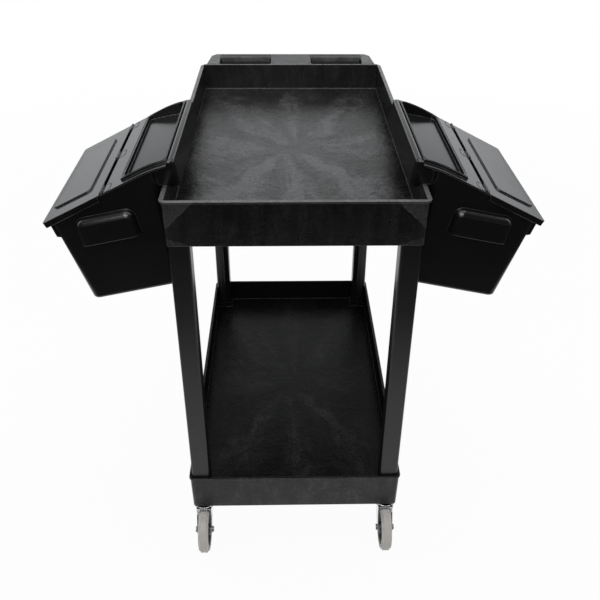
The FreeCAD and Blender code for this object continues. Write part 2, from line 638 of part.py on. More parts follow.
def make_nut(corner, x, y):
    body = new_body("axle_nut_" + corner)
    pad(body, hexagon(new_sketch(body, "YZ_Plane", "fork_outer / 2"), "hex_width"), "hex_height")
    bore = circle(new_sketch(body, "YZ_Plane", "fork_outer / 2"), "axle_diameter / 2 + seat_gap")
    pocket(body, bore, "hex_height", reverse=True)
    place(body, x, f"{y} - caster_trail", "wheel_radius")


def make_wheel(corner, x, y):
    """Wheel centre with its hub, web and rim, the tyre round it and the bush in its bore."""
    bore = "bush_diameter / 2 + seat_gap"
    rim = "rim_diameter / 2"
    section = [("-hub_width / 2", bore), ("hub_width / 2", bore), ("hub_width / 2", "hub_diameter / 2"),
               ("web_thick / 2", "hub_diameter / 2 + web_thick / 2"), ("web_thick / 2", f"{rim} - rim_thick"),
               ("rim_width / 2", f"{rim} - rim_thick / 2"), ("rim_width / 2", rim), ("-rim_width / 2", rim),
               ("-rim_width / 2", f"{rim} - rim_thick / 2"), ("-web_thick / 2", f"{rim} - rim_thick"),
               ("-web_thick / 2", "hub_diameter / 2 + web_thick / 2"), ("-hub_width / 2", "hub_diameter / 2")]
    ring = "rim_diameter / 2 + seat_gap"
    side, shoulder, crest = "tread_width / 2", "wheel_radius - tread_round", "(tread_width / 2 - tread_round)"
    tyre = [(f"-{side}", ring), (side, ring), (side, shoulder), (crest, "wheel_radius"),
            (f"-{crest}", "wheel_radius"), (f"-{side}", shoulder)]
    bush_inner = "axle_diameter / 2 + run_gap"
    bush = [("-bush_width / 2", bush_inner), ("bush_width / 2", bush_inner),
            ("bush_width / 2", "bush_diameter / 2"), ("-bush_width / 2", "bush_diameter / 2")]
    rounds = {2: "-tread_round", 4: "-tread_round"}
    for name, points in (("wheel_centre_", section), ("tyre_", tyre), ("axle_bush_", bush)):
        body = new_body(name + corner)
        outline(new_sketch(body, "XZ_Plane"), points, rounds if points is tyre else None)
        revolve(body, body.Group[-1], "X_Axis")
        place(body, x, f"{y} - caster_trail", "wheel_radius")


def make_brake(corner, x, y):
    """Foot lever with its shoe over the tyre, and the pin that it turns on; the local origin is on that pin."""
    lever = new_body("brake_lever_" + corner)
    top, low = "lever_sheet / 2", "-lever_sheet / 2"
    toe_top, toe_low = "lever_sheet / 2 - lever_drop", "-lever_sheet / 2 - lever_drop"
    side = outline(new_sketch(lever, "YZ_Plane"), [
        ("0", top), ("-lever_reach", toe_top), ("-lever_reach", toe_low),
        ("-shoe_back - shoe_width", "-shoe_drop / 2"), ("-shoe_back - shoe_width", "-shoe_drop - lever_sheet"),
        ("-shoe_back", "-shoe_drop"), ("-shoe_back", "-shoe_drop / 2"), ("0", low)])
    pad(lever, side, "lever_width", symmetric=True)
    pad(lever, circle(new_sketch(lever, "YZ_Plane"), "lever_eye"), "lever_width", symmetric=True)
    bore = circle(new_sketch(lever, "YZ_Plane"), "brake_pin_diameter / 2 + run_gap")
    pocket(lever, bore, "lever_width", symmetric=True)
    pin = new_body("brake_pin_" + corner)
    rod = circle(new_sketch(pin, "YZ_Plane"), "brake_pin_diameter / 2")
    pad(pin, rod, "fork_outer + fork_sheet", symmetric=True)
    for body in (lever, pin):
        place(body, x, f"{y} - brake_pin_back", "brake_pin_up")


# Bins: the local origin is on the right rim's outer top edge, at the middle of the bin, tilted with it;
# local X runs outwards and local Z up. The left bin is the right one mirrored.


def under_line(drop):
    """The straight part of the cover's top and the bend to the hook, lowered square to the slope by drop."""
    start = (f"hinge_out - ({drop}) * slope_fall", f"hinge_up - ({drop}) * slope_run")
    bend = (f"bend_out - ({drop}) * slope_fall", f"bend_top - ({drop}) * slope_run")
    end = ("hook_face", f"cover_top - ({drop})")
    return start, bend, end


def bin_block(body, kind, wall):
    """Block of the bin with sloping long walls, drawn in by wall on every side but the top."""
    low, spread = f"({wall} - bin_depth)", f"((block_top + bin_depth - ({wall})) * draft_rise)"
    block = outline(new_sketch(body, "XZ_Plane"), [
        (f"floor_in + {wall}", low), (f"bin_out - ({wall})", low),
        (f"bin_out - ({wall}) + {spread}", "block_top"), (f"floor_in + {wall} - {spread}", "block_top")])
    extrude(body, kind, block, f"2 * (end_half - ({wall}))", symmetric=True)


def bin_shell(body):
    """Open shell of the bin with round corners."""
    bin_block(body, "Pad", "0")
    bin_block(body, "Pocket", "bin_wall")
    wall, floor = size("bin_wall"), -size("bin_depth")
    middle_of_wall = size("end_half") - wall / 2

    def corner(edge, outer):
        return upright(edge) and (abs(edge.BoundBox.YMin) > middle_of_wall) == outer

    round_edges(body, "bin_corner - bin_wall", lambda edge: corner(edge, False))
    round_edges(body, "bin_foot_round - bin_wall / 2", lambda edge: lies_at(edge, z=floor + wall))
    round_edges(body, "bin_corner", lambda edge: corner(edge, True))
    round_edges(body, "bin_foot_round", lambda edge: lies_at(edge, z=floor))


def band_section(body, inset, length, kind):
    """Stepped band along the outer wall, under the lid's edge."""
    low_out = "bin_out + (bin_depth - band_low) * draft_rise"
    high_out = "bin_out + bin_depth * draft_rise"
    step, root = f"(band_step - ({inset}))", f"(bin_wall / 2 + ({inset}))"
    sketch = outline(new_sketch(body, "XZ_Plane"), [
        (f"{low_out} - {root}", f"{inset} - band_low"),
        (f"{low_out} + {step}", f"{inset} - band_low + bin_wall"),
        (f"{high_out} + {step}", "0"), (f"{high_out} - {root}", "0")])
    extrude(body, kind, sketch, length, symmetric=True)


def end_grips(body):
    """Hollow pillow-shaped hand grips on both end walls, open below."""
    level = "(end_half - bin_wall / 2)"
    front = size("end_half + grip_reach")
    foot = -size("grip_low")
    for way, reverse in (("", False), ("-", True)):
        face = outline(new_sketch(body, "XZ_Plane", f"{way}{level}"), [
            ("grip_out", "-grip_low"), ("grip_out", "-grip_top - grip_corner"),
            ("grip_out - grip_corner", "-grip_top"), ("grip_in + grip_corner", "-grip_top"),
            ("grip_in", "-grip_top - grip_corner"), ("grip_in", "-grip_low")],
            {1: "grip_corner", 3: "grip_corner"})
        pad(body, face, "grip_reach + bin_wall / 2", reverse=reverse)
    round_edges(body, "grip_round", lambda edge: (lies_at(edge, y=front) or lies_at(edge, y=-front))
                and not lies_at(edge, z=foot))
    for way, reverse in (("", False), ("-", True)):
        hollow = rectangle(new_sketch(body, "XZ_Plane", f"{way}end_half"), "grip_in + grip_round",
                           "grip_out - grip_round", "-grip_low - bin_wall", "-grip_top - grip_reach")
        pocket(body, hollow, "grip_reach - bin_wall", reverse=not reverse)


def make_bin_body():
    """Bin with its front band, end grips and the hook bead that hangs inside the cart's rim."""
    body = new_body("bin_body_right")
    bin_shell(body)
    band_section(body, "0", "bin_length - 2 * band_end", "Pad")
    band_section(body, "bin_wall", "bin_length - 2 * band_end - 2 * bin_wall", "Pocket")
    edge_drop = "bin_wall + lid_gap"
    start, bend, end = under_line(edge_drop)
    rim_end = (f"{start[0]} + lid_reach * slope_run", f"{start[1]} - lid_reach * slope_fall")
    top_cut = outline(new_sketch(body, "XZ_Plane"), [
        end, bend, rim_end, (rim_end[0], "2 * block_top"), (end[0], "2 * block_top")],
        {0: "-(bend_radius - bin_wall)"})
    pocket(body, top_cut, "2 * bin_length", symmetric=True)
    back = "hook_face - hook_thick"
    web = "wall_in + bin_wall / 2"
    hook = outline(new_sketch(body, "XZ_Plane"), [
        (back, "-hook_drop"), ("-hook_clear", "-hook_drop"), ("-hook_clear", "hang_gap"), (web, "hang_gap"),
        (web, f"bend_top - {edge_drop}"), ("hook_face", end[1]), ("hook_face", "hook_top"), (back, "hook_top")])
    pad(body, hook, "hook_length", symmetric=True)
    tray_room = rectangle(new_sketch(body, "XZ_Plane"), "hook_face", "tray_out + bin_wall", "flange_top",
                          "2 * block_top")
    pocket(body, tray_room, "tray_length + 2 * bin_wall + 2 * lid_gap", symmetric=True)
    low, high, face = -size("hook_drop"), size("hook_top"), size("hook_face")
    bead_end, inner_sides = size("hook_length / 2"), (size(back), -size("hook_clear"))
    round_edges(body, "hook_end_round", lambda edge: any(lies_at(edge, x=side) for side in inner_sides)
                and abs(abs(edge.BoundBox.YMin) - bead_end) < 1e-3 and edge.BoundBox.YLength < 1e-3)
    round_edges(body, "hook_round", lambda edge: lies_at(edge, z=low)
                or lies_at(edge, z=high) and edge.BoundBox.XMax < face + 1e-3)
    end_grips(body)
    return body


def hinge_barrels(body, lengths, plate_side):
    """Hinge barrels on the local Y axis through the hinge, with the web that joins them to their plate."""
    for level in (-1, 0, 1):
        for start, end in lengths:
            base = f"({level} * barrel_spread / 2 + {start})"
            run = f"({end}) - ({start})"
            web = rectangle(new_sketch(body, "XZ_Plane", f"-{base}"), *plate_side, "-bin_wall", "0")
            pad(body, web, run, reverse=True)
            barrel = circle(new_sketch(body, "XZ_Plane", f"-{base}"), "barrel_diameter / 2")
            pad(body, barrel, run, reverse=True)
    bore = circle(new_sketch(body, "XZ_Plane"), "pin_diameter / 2 + run_gap")
    pocket(body, bore, "bin_length", symmetric=True)


def make_cover():
    """Fixed cover: the sloping strip beside the hinge, the bend up to the hook and the sunk tray."""
    body = new_body("bin_cover_right")
    start, bend, end = under_line("0")
    low_start, low_bend, low_end = under_line("bin_wall")
    edge = ("slit * slope_run", "slit * slope_fall")
    tip = (f"{start[0]} - {edge[0]}", f"{start[1]} + {edge[1]}")
    low_tip = (f"{low_start[0]} - {edge[0]}", f"{low_start[1]} + {edge[1]}")
    clear = ("hook_face + lid_gap", end[1])
    low_clear = ("hook_face + lid_gap", low_end[1])
    rise = "tray_bead_up"
    high_start, high_bend, high_end = under_line(f"-{rise}")
    reach = "(tray_out + tray_bead)"
    high_out = (reach, f"{high_start[1]} + ({high_start[0]} - {reach}) * slope_rise")
    low_out = (reach, f"{start[1]} - bin_wall / 2 + ({start[0]} - {reach}) * slope_rise")
    bead = outline(new_sketch(body, "XZ_Plane"), [
        high_out, high_bend, (clear[0], high_end[1]), (clear[0], "cover_top - bin_wall / 2"),
        (bend[0], "bend_top - bin_wall / 2"), low_out], {1: "bend_radius + tray_bead_up"})
    pad(body, bead, "tray_length + 2 * tray_bead", symmetric=True)
    crest = [(size(x), size(z)) for x, z in (high_out, high_bend, (clear[0], high_end[1]))]

    def on_crest(vertex):
        return any(math.hypot(vertex.X - x, vertex.Z - z) < 1e-3 for x, z in crest)

    round_edges(body, "tray_bead_round", lambda edge: all(on_crest(vertex) for vertex in edge.Vertexes)
                and not lies_at(edge, x=crest[1][0]))
    plate = outline(new_sketch(body, "XZ_Plane"), [tip, bend, clear, low_clear, low_bend, low_tip],
                    {1: "bend_radius", 3: "-(bend_radius - bin_wall)"})
    pad(body, plate, "bin_length", symmetric=True)
    wall_out = "(tray_out + bin_wall)"
    tub_top = f"{start[1]} - bin_wall / 2 + ({start[0]} - {wall_out}) * slope_rise"
    tub = outline(new_sketch(body, "XZ_Plane"), [
        (wall_out, "tray_up"), (wall_out, tub_top), (bend[0], "bend_top - bin_wall / 2"),
        (clear[0], "cover_top - bin_wall / 2"), (clear[0], "tray_up")])
    pad(body, tub, "tray_length + 2 * bin_wall", symmetric=True)
    room = rectangle(new_sketch(body, "XZ_Plane"), "hook_face + lid_gap + bin_wall", "tray_out", "tray_floor",
                     "2 * block_top")
    pocket(body, room, "tray_length", symmetric=True)
    ends = size("tray_half")
    round_edges(body, "tray_corner", lambda e: upright(e) and abs(abs(e.BoundBox.YMin) - ends) < 1e-3
                and e.BoundBox.YLength < 1e-3)
    return body


def make_cover_hinge():
    """The cover's barrels stand in a body frame of their own slope, so they are fused on afterwards."""
    barrels = new_body("cover_barrels")
    pieces.remove(barrels)
    hinge_barrels(barrels, [("-barrel_length / 2", "barrel_length / 2")], ("-slit * 2", "0"))
    return barrels


def make_lid():
    """Hinged lid with a raised field, a skirt on three sides and its hinge barrels."""
    body = new_body("bin_lid_right")
    half = "bin_length / 2"
    plate = rectangle(new_sketch(body, "XY_Plane"), "slit", "lid_reach", f"-{half}", half)
    pad(body, plate, "bin_wall", reverse=True)
    skirt = new_sketch(body, "XY_Plane")
    start = "2 * slit"
    inside, lip = f"({half} - bin_wall + lid_gap)", "lid_reach - bin_wall"
    outline(skirt, [(start, f"-{half}"), ("lid_reach", f"-{half}"), ("lid_reach", half), (start, half),
                    (start, inside), (lip, inside), (lip, f"-{inside}"), (start, f"-{inside}")])
    pad(body, skirt, "lid_skirt", reverse=True)
    field = ("plateau_hinge", "lid_reach - plateau_outer", f"plateau_end - {half}", f"{half} - plateau_end")
    pad(body, rounded_rectangle(new_sketch(body, "XY_Plane"), *field, "tray_corner"), "plateau_up")
    top, outer = size("plateau_up"), size("lid_reach")
    round_edges(body, "plateau_up * 0.6", lambda edge: lies_at(edge, z=top))
    round_edges(body, "lid_corner", lambda edge: upright(edge) and lies_at(edge, x=outer))
    inner = ("plateau_hinge + bin_wall", "lid_reach - plateau_outer - bin_wall",
             f"plateau_end + bin_wall - {half}", f"{half} - plateau_end - bin_wall", "tray_corner - bin_wall")
    hollow = rounded_rectangle(new_sketch(body, "XY_Plane", "-bin_wall"), *inner)
    pocket(body, hollow, "plateau_up", reverse=True)
    ahead = "barrel_length / 2 + barrel_gap"
    behind = "barrel_length + barrel_gap"
    hinge_barrels(body, [(ahead, behind), (f"-({behind})", f"-({ahead})")], ("0", "slit * 2"))
    return body


def make_pins():
    """Three short pins, one through each hinge."""
    pins = []
    for level in (-1, 0, 1):
        pin = doc.addObject("Part::Cylinder", "hinge_pin")
        bind(pin, "Radius", "pin_diameter / 2")
        bind(pin, "Height", "2 * barrel_length + 2 * barrel_gap")
        head = f"{level} * barrel_spread / 2 + barrel_length + barrel_gap"
        place(pin, y=head, turn="90", axis=Vector(1, 0, 0))
        pins.append(pin)
    group = doc.addObject("Part::Compound", "hinge_pins_right")
    group.Label = "hinge_pins_right"
    group.Links = pins
    pieces.append(group)
    return group


def make_bins():
    shell, cover, lid, pins = make_bin_body(), make_cover(), make_lid(), make_pins()
    barrels = make_cover_hinge()
    hung = {"x": "rim_half", "y": "bin_middle_y", "z": "top_rim", "turn": "bin_tilt", "axis": Vector(0, 1, 0)}
    hinged = dict(hung, turn="bin_tilt + lid_slope",
                  x="rim_half + hinge_out * cos(bin_tilt) + hinge_up * sin(bin_tilt)",
                  z="top_rim - hinge_out * sin(bin_tilt) + hinge_up * cos(bin_tilt)")
    for piece in (shell, cover):
        place(piece, **hung)
    for piece in (lid, pins, barrels):
        place(piece, **hinged)
    pieces.remove(cover)
    cover.Label = "cover_panel"
    whole = doc.addObject("Part::Fuse", "bin_cover_right")
    whole.Label = "bin_cover_right"
    whole.Base = cover
    whole.Tool = barrels
    pieces.append(whole)
    for piece in (shell, whole, lid, pins):
        twin = doc.addObject("Part::Mirroring", piece.Name.replace("right", "left"))
        twin.Label = piece.Label.replace("right", "left")
        twin.Source = piece
        twin.Normal = Vector(1, 0, 0)
        pieces.append(twin)


def export():
    """Check every object, then write each piece to its own file."""
    doc.recompute()
    for thing in doc.Objects:
        if {"Invalid", "Error"} & set(thing.State):
            raise RuntimeError(f"{thing.Label}: {thing.State}")
    for piece in pieces:
        if piece.Shape.isNull() or not piece.Shape.isValid():
            raise RuntimeError(f"{piece.Label}: no valid shape")
    os.makedirs("parts", exist_ok=True)
    for piece in pieces:
        piece.Shape.exportStep(f"parts/{piece.Label}.step")
        print(f"{piece.Label}: {piece.Shape.Volume / 1000:.1f} cm3, {len(piece.Shape.Solids)} solids")


fill_sheet()
make_top_tub()
make_low_tub()
for name, across, along, heading in CORNERS:
    braked = name.startswith("rear")
    make_leg(name, across, along, heading)
    make_insert(name, across, along)
    make_stem(name, across, along)
    make_balls(name, across, along)
    make_fork(name, across, along, braked)
    make_axle(name, across, along)
    make_nut(name, across, along)
    make_wheel(name, across, along)
    if braked:
        make_brake(name, across, along)
make_bins()
export()
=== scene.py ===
import json
import math

import bmesh
import bpy
import numpy as np
from bpy.props import FloatProperty, FloatVectorProperty, IntProperty, PointerProperty
from mathutils import Matrix


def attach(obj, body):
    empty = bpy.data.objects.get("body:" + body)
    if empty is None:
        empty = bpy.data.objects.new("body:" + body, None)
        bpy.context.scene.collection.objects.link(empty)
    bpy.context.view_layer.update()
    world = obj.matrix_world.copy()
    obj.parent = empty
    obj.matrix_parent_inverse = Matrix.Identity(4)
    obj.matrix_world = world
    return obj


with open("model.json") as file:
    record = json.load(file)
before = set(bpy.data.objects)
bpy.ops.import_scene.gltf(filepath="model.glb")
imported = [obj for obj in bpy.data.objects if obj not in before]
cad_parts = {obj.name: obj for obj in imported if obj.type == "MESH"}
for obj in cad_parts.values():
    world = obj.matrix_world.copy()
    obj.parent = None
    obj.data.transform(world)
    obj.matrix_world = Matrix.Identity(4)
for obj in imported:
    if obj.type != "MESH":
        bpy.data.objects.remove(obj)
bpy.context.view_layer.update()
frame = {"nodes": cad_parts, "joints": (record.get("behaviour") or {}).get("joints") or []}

bl_info = {
    "name": "Shelf cart looks",
    "version": (1, 0, 0),
    "blender": (4, 5, 0),
    "location": "View3D > Sidebar > Shelf cart",
    "description": "Dresses the packed shelf cart and sets it in a plain studio",
    "category": "Object",
}

MM = 0.001  # a millimetre in metres
SIDES = {"left": -1.0, "right": 1.0}
HINGES = {joint["child"]: joint["pos_m"] for joint in frame["joints"] if joint["name"].startswith("lid_swing")}


# Properties


def colour(name, description, default):
    return FloatVectorProperty(name=name, description=description, default=default, subtype="COLOR", size=3,
                               min=0.0, max=1.0)


def length(name, description, default):
    return FloatProperty(name=name, description=description, default=default, subtype="DISTANCE", unit="LENGTH",
                         min=0.0)


def angle(name, description, default):
    return FloatProperty(name=name, description=description, default=math.radians(default), subtype="ANGLE",
                         unit="ROTATION")


def share(name, description, default):
    return FloatProperty(name=name, description=description, default=default, subtype="FACTOR", min=0.0, max=1.0)


def spot(name, description, default):
    return FloatVectorProperty(name=name, description=description, default=default, subtype="TRANSLATION",
                               unit="LENGTH", size=3)


def watts(name, description, default):
    return FloatProperty(name=name, description=description, default=default, subtype="POWER", unit="POWER",
                         min=0.0)


class CartColours(bpy.types.PropertyGroup):
    """Colours and gloss of the cart's finishes."""
    cart_dark: colour("Cart black", "Moulded cart plastic away from its flow marks", (0.0032, 0.0032, 0.0034))
    # Also paints the light in the handle's slots.
    cart_pale: colour("Cart flow grey", "Palest flow marks in the cart plastic", (0.06, 0.06, 0.062))
    # Also paints highlights on rims, lip, creases and the floor's foot, and light in the handle's slots.
    cart_wear_and_painted_light: colour("Cart edges", "Rubbed edges of the cart plastic", (0.17, 0.17, 0.166))
    leg_dark: colour("Leg black", "Plastic of the legs", (0.004, 0.004, 0.0043))
    bin_black: colour("Bin black", "Plastic of the bins", (0.006, 0.006, 0.0064))
    # Also paints highlights on the bins' edges.
    bin_wear_and_highlight: colour("Bin edges", "Rubbed edges of the bins", (0.22, 0.22, 0.225))
    plate_grey: colour("Plate grey", "Smooth plate in the handle", (0.105, 0.105, 0.107))
    zinc: colour("Zinc", "Plated sheet, bolts and stems of the casters", (0.70, 0.73, 0.765))
    zinc_edge: colour("Zinc edges", "Rubbed edges of the plated pieces", (0.82, 0.83, 0.84))
    tread: colour("Tread grey", "Rubber of the tyres", (0.70, 0.67, 0.63))
    # Darker grey of the running face, square to the wheel's axis.
    tread_face: colour("Tread wear", "Running face of the tyres", (0.62, 0.59, 0.545))
    wheel: colour("Wheel grey", "Plastic of the wheel centres", (0.09, 0.09, 0.095))
    insert: colour("Insert black", "Plastic of the inserts in the legs' feet", (0.03, 0.03, 0.032))
    bin_gloss: share("Bin roughness", "Roughness of the bins' smooth panels", 0.18)
    cart_gloss: share("Cart roughness", "Roughness of the cart's moulded plastic", 0.36)


class CartSizes(bpy.types.PropertyGroup):
    """Sizes that the finishes and the raised details follow, from the part's own dimensions."""
    bin_tilt: angle("Bin tilt", "How far a hung bin leans out", 12.0)
    lid_slope: angle("Lid slope", "Slope of lid and cover on their bin", 15.0)
    rim_half: length("Rim half width", "Outer face of a tub's wall from the middle", 0.2286)
    rim_height: length("Rim height", "Upper tub's rim above the ground", 0.870)
    low_rim_height: length("Low rim height", "Lower tub's rim above the ground", 0.2064)
    rim_front: length("Rim front", "Front walls of the tubs ahead of the middle", 0.418725)
    rim_wall: length("Rim wall", "Wall of a tub at its rim", 0.0045)
    lip_height: length("Lip height", "Lip outside the rim", 0.005)
    tub_half: length("Tub half length", "Half of a tub, front to rear", 0.4064)
    tub_depth: length("Tub depth", "Floor of a tub below its rim", 0.0635)
    facet: length("Facet", "Side of the pale triangles at the ends of the front wall", 0.056)
    toe_drop: length("Toe drop", "Lower edge of that wall's pale toes below the rim", 0.0884)
    hinge_out: length("Hinge out", "Lid hinge from the rim, along the bin", 0.113)
    hinge_up: length("Hinge up", "Lid hinge above the rim, square to the bin", 0.010)
    bend_out: length("Bend", "Where the cover levels off, from the rim", 0.040)
    bend_radius: length("Bend radius", "Radius of the cover where it levels off", 0.240)
    cover_end: length("Cover end", "Cover's end inside the rim", 0.014)
    cover_top: length("Cover top", "Cover at the hook, above the rim", 0.0375)
    tray_inner: length("Tray inner edge", "Inner edge of the tray inside the rim", 0.0107)
    tray_out: length("Tray outer edge", "Outer edge of the tray from the rim", 0.069)
    tray_half: length("Tray half length", "Half of the tray, front to rear", 0.154)
    tray_corner: length("Tray corner", "Corner radius of the tray", 0.010)
    frame_up: length("Frame height", "Frame round the tray above the cover", 0.0045)
    frame_mid: length("Frame middle", "Middle of that frame from the tray's edge", 0.0025)
    frame_inner: length("Frame inner middle", "The same at the tray's inner edge", 0.0015)
    bead_wide: length("Bead half width", "Half width of the rounded bead on that frame", 0.0011)
    bead_high: length("Bead height", "Height of that bead above its frame", 0.0008)
    tab_long: length("Tab half length", "Half of a raised hinge tab, front to rear", 0.016)
    tab_deep: length("Tab reach", "Reach of a hinge tab from the hinge", 0.0125)
    tab_start: length("Tab start", "Open end of a hinge tab from the hinge", 0.0056)
    tab_wide: length("Tab line", "Half width of a hinge tab's raised line", 0.0007)
    tab_high: length("Tab height", "Height of a hinge tab's raised line", 0.0006)
    tab_spread: length("Tab spread", "First hinge tab to last", 0.312)
    bar_near: length("Bar near edge", "Near edge of the gripping bar behind the middle", 0.4547)
    slot_inner: length("Slot inner end", "Inner end of a hand slot from the middle", 0.053)
    slot_outer: length("Slot outer end", "Outer end of a hand slot from the middle", 0.186)
    handle_tilt: angle("Handle tilt", "How far the handle rises to the rear", 4.5)
    plate_middle: spot("Plate middle", "Middle of the handle plate's underside", (0.0, 0.43466, 0.87059))
    plate_long: length("Plate half length", "Half of the handle plate, side to side", 0.0500)
    plate_deep: length("Plate half depth", "Half of the handle plate, front to rear", 0.0337)
    plate_thick: length("Plate thickness", "Handle plate above its recess", 0.0007)


class StageSettings(bpy.types.PropertyGroup):
    """Floor, lamps and the photograph's camera."""
    floor: colour("Floor", "Pale floor", (0.86, 0.86, 0.86))
    floor_white: share("Floor white", "How far the floor is plain white to the camera", 0.96)
    floor_half: length("Floor half", "Half of the floor's side", 20.0)
    floor_drop: length("Floor drop", "Floor below the wheels", 0.0003)
    # The floor's lit part is a painted pool of light round the cart.
    floor_unlit: share("Floor unlit", "Tone of the floor past its lit part, of its tone there", 0.06)
    floor_reach: length("Floor reach", "How far the lit part of the floor reaches round the cart", 1.2)
    sky: FloatProperty(name="Room light", description="Even light of the white room", default=0.35, min=0.0)
    ceiling: share("Ceiling", "Brightness of the room overhead, seen in gloss", 0.3)
    room_tint: colour("Room tint", "Slight blue of the room's light", (0.965, 0.985, 1.0))
    twice_seen: share("Twice seen", "Brightness of the room seen in gloss by way of other gloss", 0.1)
    near_side: share("Near side", "Brightness of the room behind the camera, seen in gloss", 0.12)
    top_lamp: watts("Top lamp", "Large soft lamp above the cart", 36.0)
    side_lamp: watts("Side lamps", "Soft lamps beside the cart", 10.0)
    front_lamp: watts("Front lamp", "Soft lamp behind the camera", 10.0)
    edge_lamp: watts("Edge lamp", "Soft lamp above the camera, seen only in gloss", 40.0)
    camera_place: spot("Camera", "Place of the camera", (-0.019407, -1.5510, 1.41521))
    camera_yaw: angle("Yaw", "Camera turned towards +X", 1.392)
    camera_pitch: angle("Pitch", "Camera tilted down", 33.355)
    camera_roll: angle("Roll", "Camera rolled about its view", -0.395)
    lens_pixels: FloatProperty(name="Focal length", description="Focal length in pixels of the photograph",
                               default=739.635, min=1.0)
    picture: IntProperty(name="Picture side", description="Side of the square photograph in pixels", default=600,
                         subtype="PIXEL")


class CartLooks(bpy.types.PropertyGroup):
    """Everything that a user may change."""
    colours: PointerProperty(type=CartColours)
    sizes: PointerProperty(type=CartSizes)
    stage: PointerProperty(type=StageSettings)


# Shader trees


class Graph:
    """A shader tree with short calls: each adds a node, sets or links its sockets and hands back an output."""

    def __init__(self, tree):
        self.tree = tree

    def add(self, kind, sockets=None, **settings):
        node = self.tree.nodes.new(kind if kind.startswith("NodeGroup") else "ShaderNode" + kind)
        for name, value in settings.items():
            setattr(node, name, value)
        for name, value in (sockets or {}).items():
            self.feed(node.inputs[name], value)
        return node

    def feed(self, socket, value):
        if isinstance(value, bpy.types.NodeSocket):
            self.tree.links.new(value, socket)
        else:
            socket.default_value = value

    def math(self, operation, *values):
        return self.add("Math", dict(enumerate(values)), operation=operation).outputs[0]

    def times(self, first, *others):
        """Product of all the values."""
        for other in others:
            first = self.math("MULTIPLY", first, other)
        return first

    def highest(self, first, *others):
        """Largest of the values."""
        for other in others:
            first = self.math("MAXIMUM", first, other)
        return first

    def line(self, value, slope, start):
        """Start plus slope times the value."""
        return self.math("MULTIPLY_ADD", value, slope, start)

    def step(self, value, low, high, bottom=0.0, top=1.0):
        """Smooth step from bottom at low to top at high."""
        sockets = {"Value": value, "From Min": low, "From Max": high, "To Min": bottom, "To Max": top}
        return self.add("MapRange", sockets, interpolation_type="SMOOTHSTEP").outputs["Result"]

    def between(self, factor, low, high):
        """Number between low and high."""
        return self.add("Mix", {0: factor, 2: low, 3: high}, data_type="FLOAT").outputs[0]

    def blend(self, factor, *colours):
        """Colour between two, each an output or red, green and blue."""
        low, high = (one if isinstance(one, bpy.types.NodeSocket) else (*one, 1.0) for one in colours)
        return self.add("Mix", {0: factor, 6: low, 7: high}, data_type="RGBA").outputs[2]

    def vector(self, operation, *values):
        outputs = self.add("VectorMath", dict(enumerate(values)), operation=operation).outputs
        return outputs["Value" if operation in ("LENGTH", "DOT_PRODUCT") else "Vector"]

    def scaled(self, vector, factor):
        return self.add("VectorMath", {"Vector": vector, "Scale": factor}, operation="SCALE").outputs["Vector"]

    def mapped(self, vector, **sockets):
        return self.add("Mapping", {"Vector": vector, **sockets}).outputs["Vector"]

    def split(self, vector):
        return self.add("SeparateXYZ", {"Vector": vector}).outputs

    def noise(self, vector, scale, detail=2.0, roughness=0.5, distortion=0.0, output="Fac"):
        return self.add("TexNoise", {"Vector": vector, "Scale": scale, "Detail": detail, "Roughness": roughness,
                                     "Distortion": distortion}).outputs[output]

    def wander(self, vector, *settings):
        """Noise as a shift to any side of a place."""
        return self.vector("SUBTRACT", self.noise(vector, *settings, output="Color"), (0.5, 0.5, 0.5))

    def group(self, name, sockets):
        return self.add("Group", sockets, node_tree=bpy.data.node_groups[name]).outputs


def new_group(name, inputs, outputs):
    """A shared shader group with named sockets: its graph, its inputs and its output node."""
    tree = bpy.data.node_groups.new(name, "ShaderNodeTree")
    for label, kind in inputs:
        tree.interface.new_socket(label, in_out="INPUT", socket_type=kind)
    for label, kind in outputs:
        tree.interface.new_socket(label, in_out="OUTPUT", socket_type=kind)
    graph = Graph(tree)
    return graph, graph.add("NodeGroupInput").outputs, graph.add("NodeGroupOutput").inputs


VECTOR, NUMBER = "NodeSocketVector", "NodeSocketFloat"


def build_flow_marks():
    """Marks that the melt leaves as it runs out from the gate in the middle of a tub's floor.

    The place is measured from the gate in half sizes of the floor and shifted by a soft noise. Petals are
    half of one plus the cosine of the angle times the lobes. Streaks are a noise over the direction from the
    gate and a little of the distance, so they run outwards. Leaves are cells with ragged edges, each of one tone.
    """
    graph, given, made = new_group("flow_marks", (("Place", VECTOR), ("Lobes", NUMBER)),
                                   (("Petals", NUMBER), ("Streaks", NUMBER), ("Leaves", NUMBER)))
    place = given["Place"]
    moved = graph.vector("ADD", place, graph.scaled(graph.wander(place, 2.1, 3.0), 0.42))
    flat = graph.vector("MULTIPLY", moved, (1.0, 1.0, 0.0))
    x, y, _ = graph.split(flat)
    distance = graph.vector("LENGTH", flat)
    turn = graph.times(graph.math("ARCTAN2", y, x), given["Lobes"])
    wave = graph.line(graph.math("COSINE", turn), 0.5, 0.5)
    graph.feed(made["Petals"], graph.times(wave, graph.step(distance, 0.0, 0.3)))
    across = graph.scaled(graph.vector("NORMALIZE", flat), 2.4)
    along = graph.add("CombineXYZ", {"Z": graph.times(distance, 1.3)}).outputs["Vector"]
    graph.feed(made["Streaks"], graph.noise(graph.vector("ADD", across, along), 2.6, 6.0, 0.66))
    torn = graph.vector("ADD", flat, graph.scaled(graph.wander(place, 5.0, 5.0, 0.6), 0.4))
    cells = graph.add("TexVoronoi", {"Vector": torn, "Scale": 3.4}).outputs["Color"]
    graph.feed(made["Leaves"], graph.split(cells)[0])


def build_mottling():
    """Cloudy change of tone: a broad noise and one nearly four times finer, six parts to four."""
    graph, given, made = new_group("mottling", (("Place", VECTOR), ("Scale", NUMBER)), (("Tone", NUMBER),))
    broad = graph.noise(given["Place"], given["Scale"], 4.0, 0.6, 0.4)
    fine = graph.noise(given["Place"], graph.times(given["Scale"], 3.7), 5.0, 0.65)
    graph.feed(made["Tone"], graph.line(fine, 0.4, graph.times(broad, 0.6)))


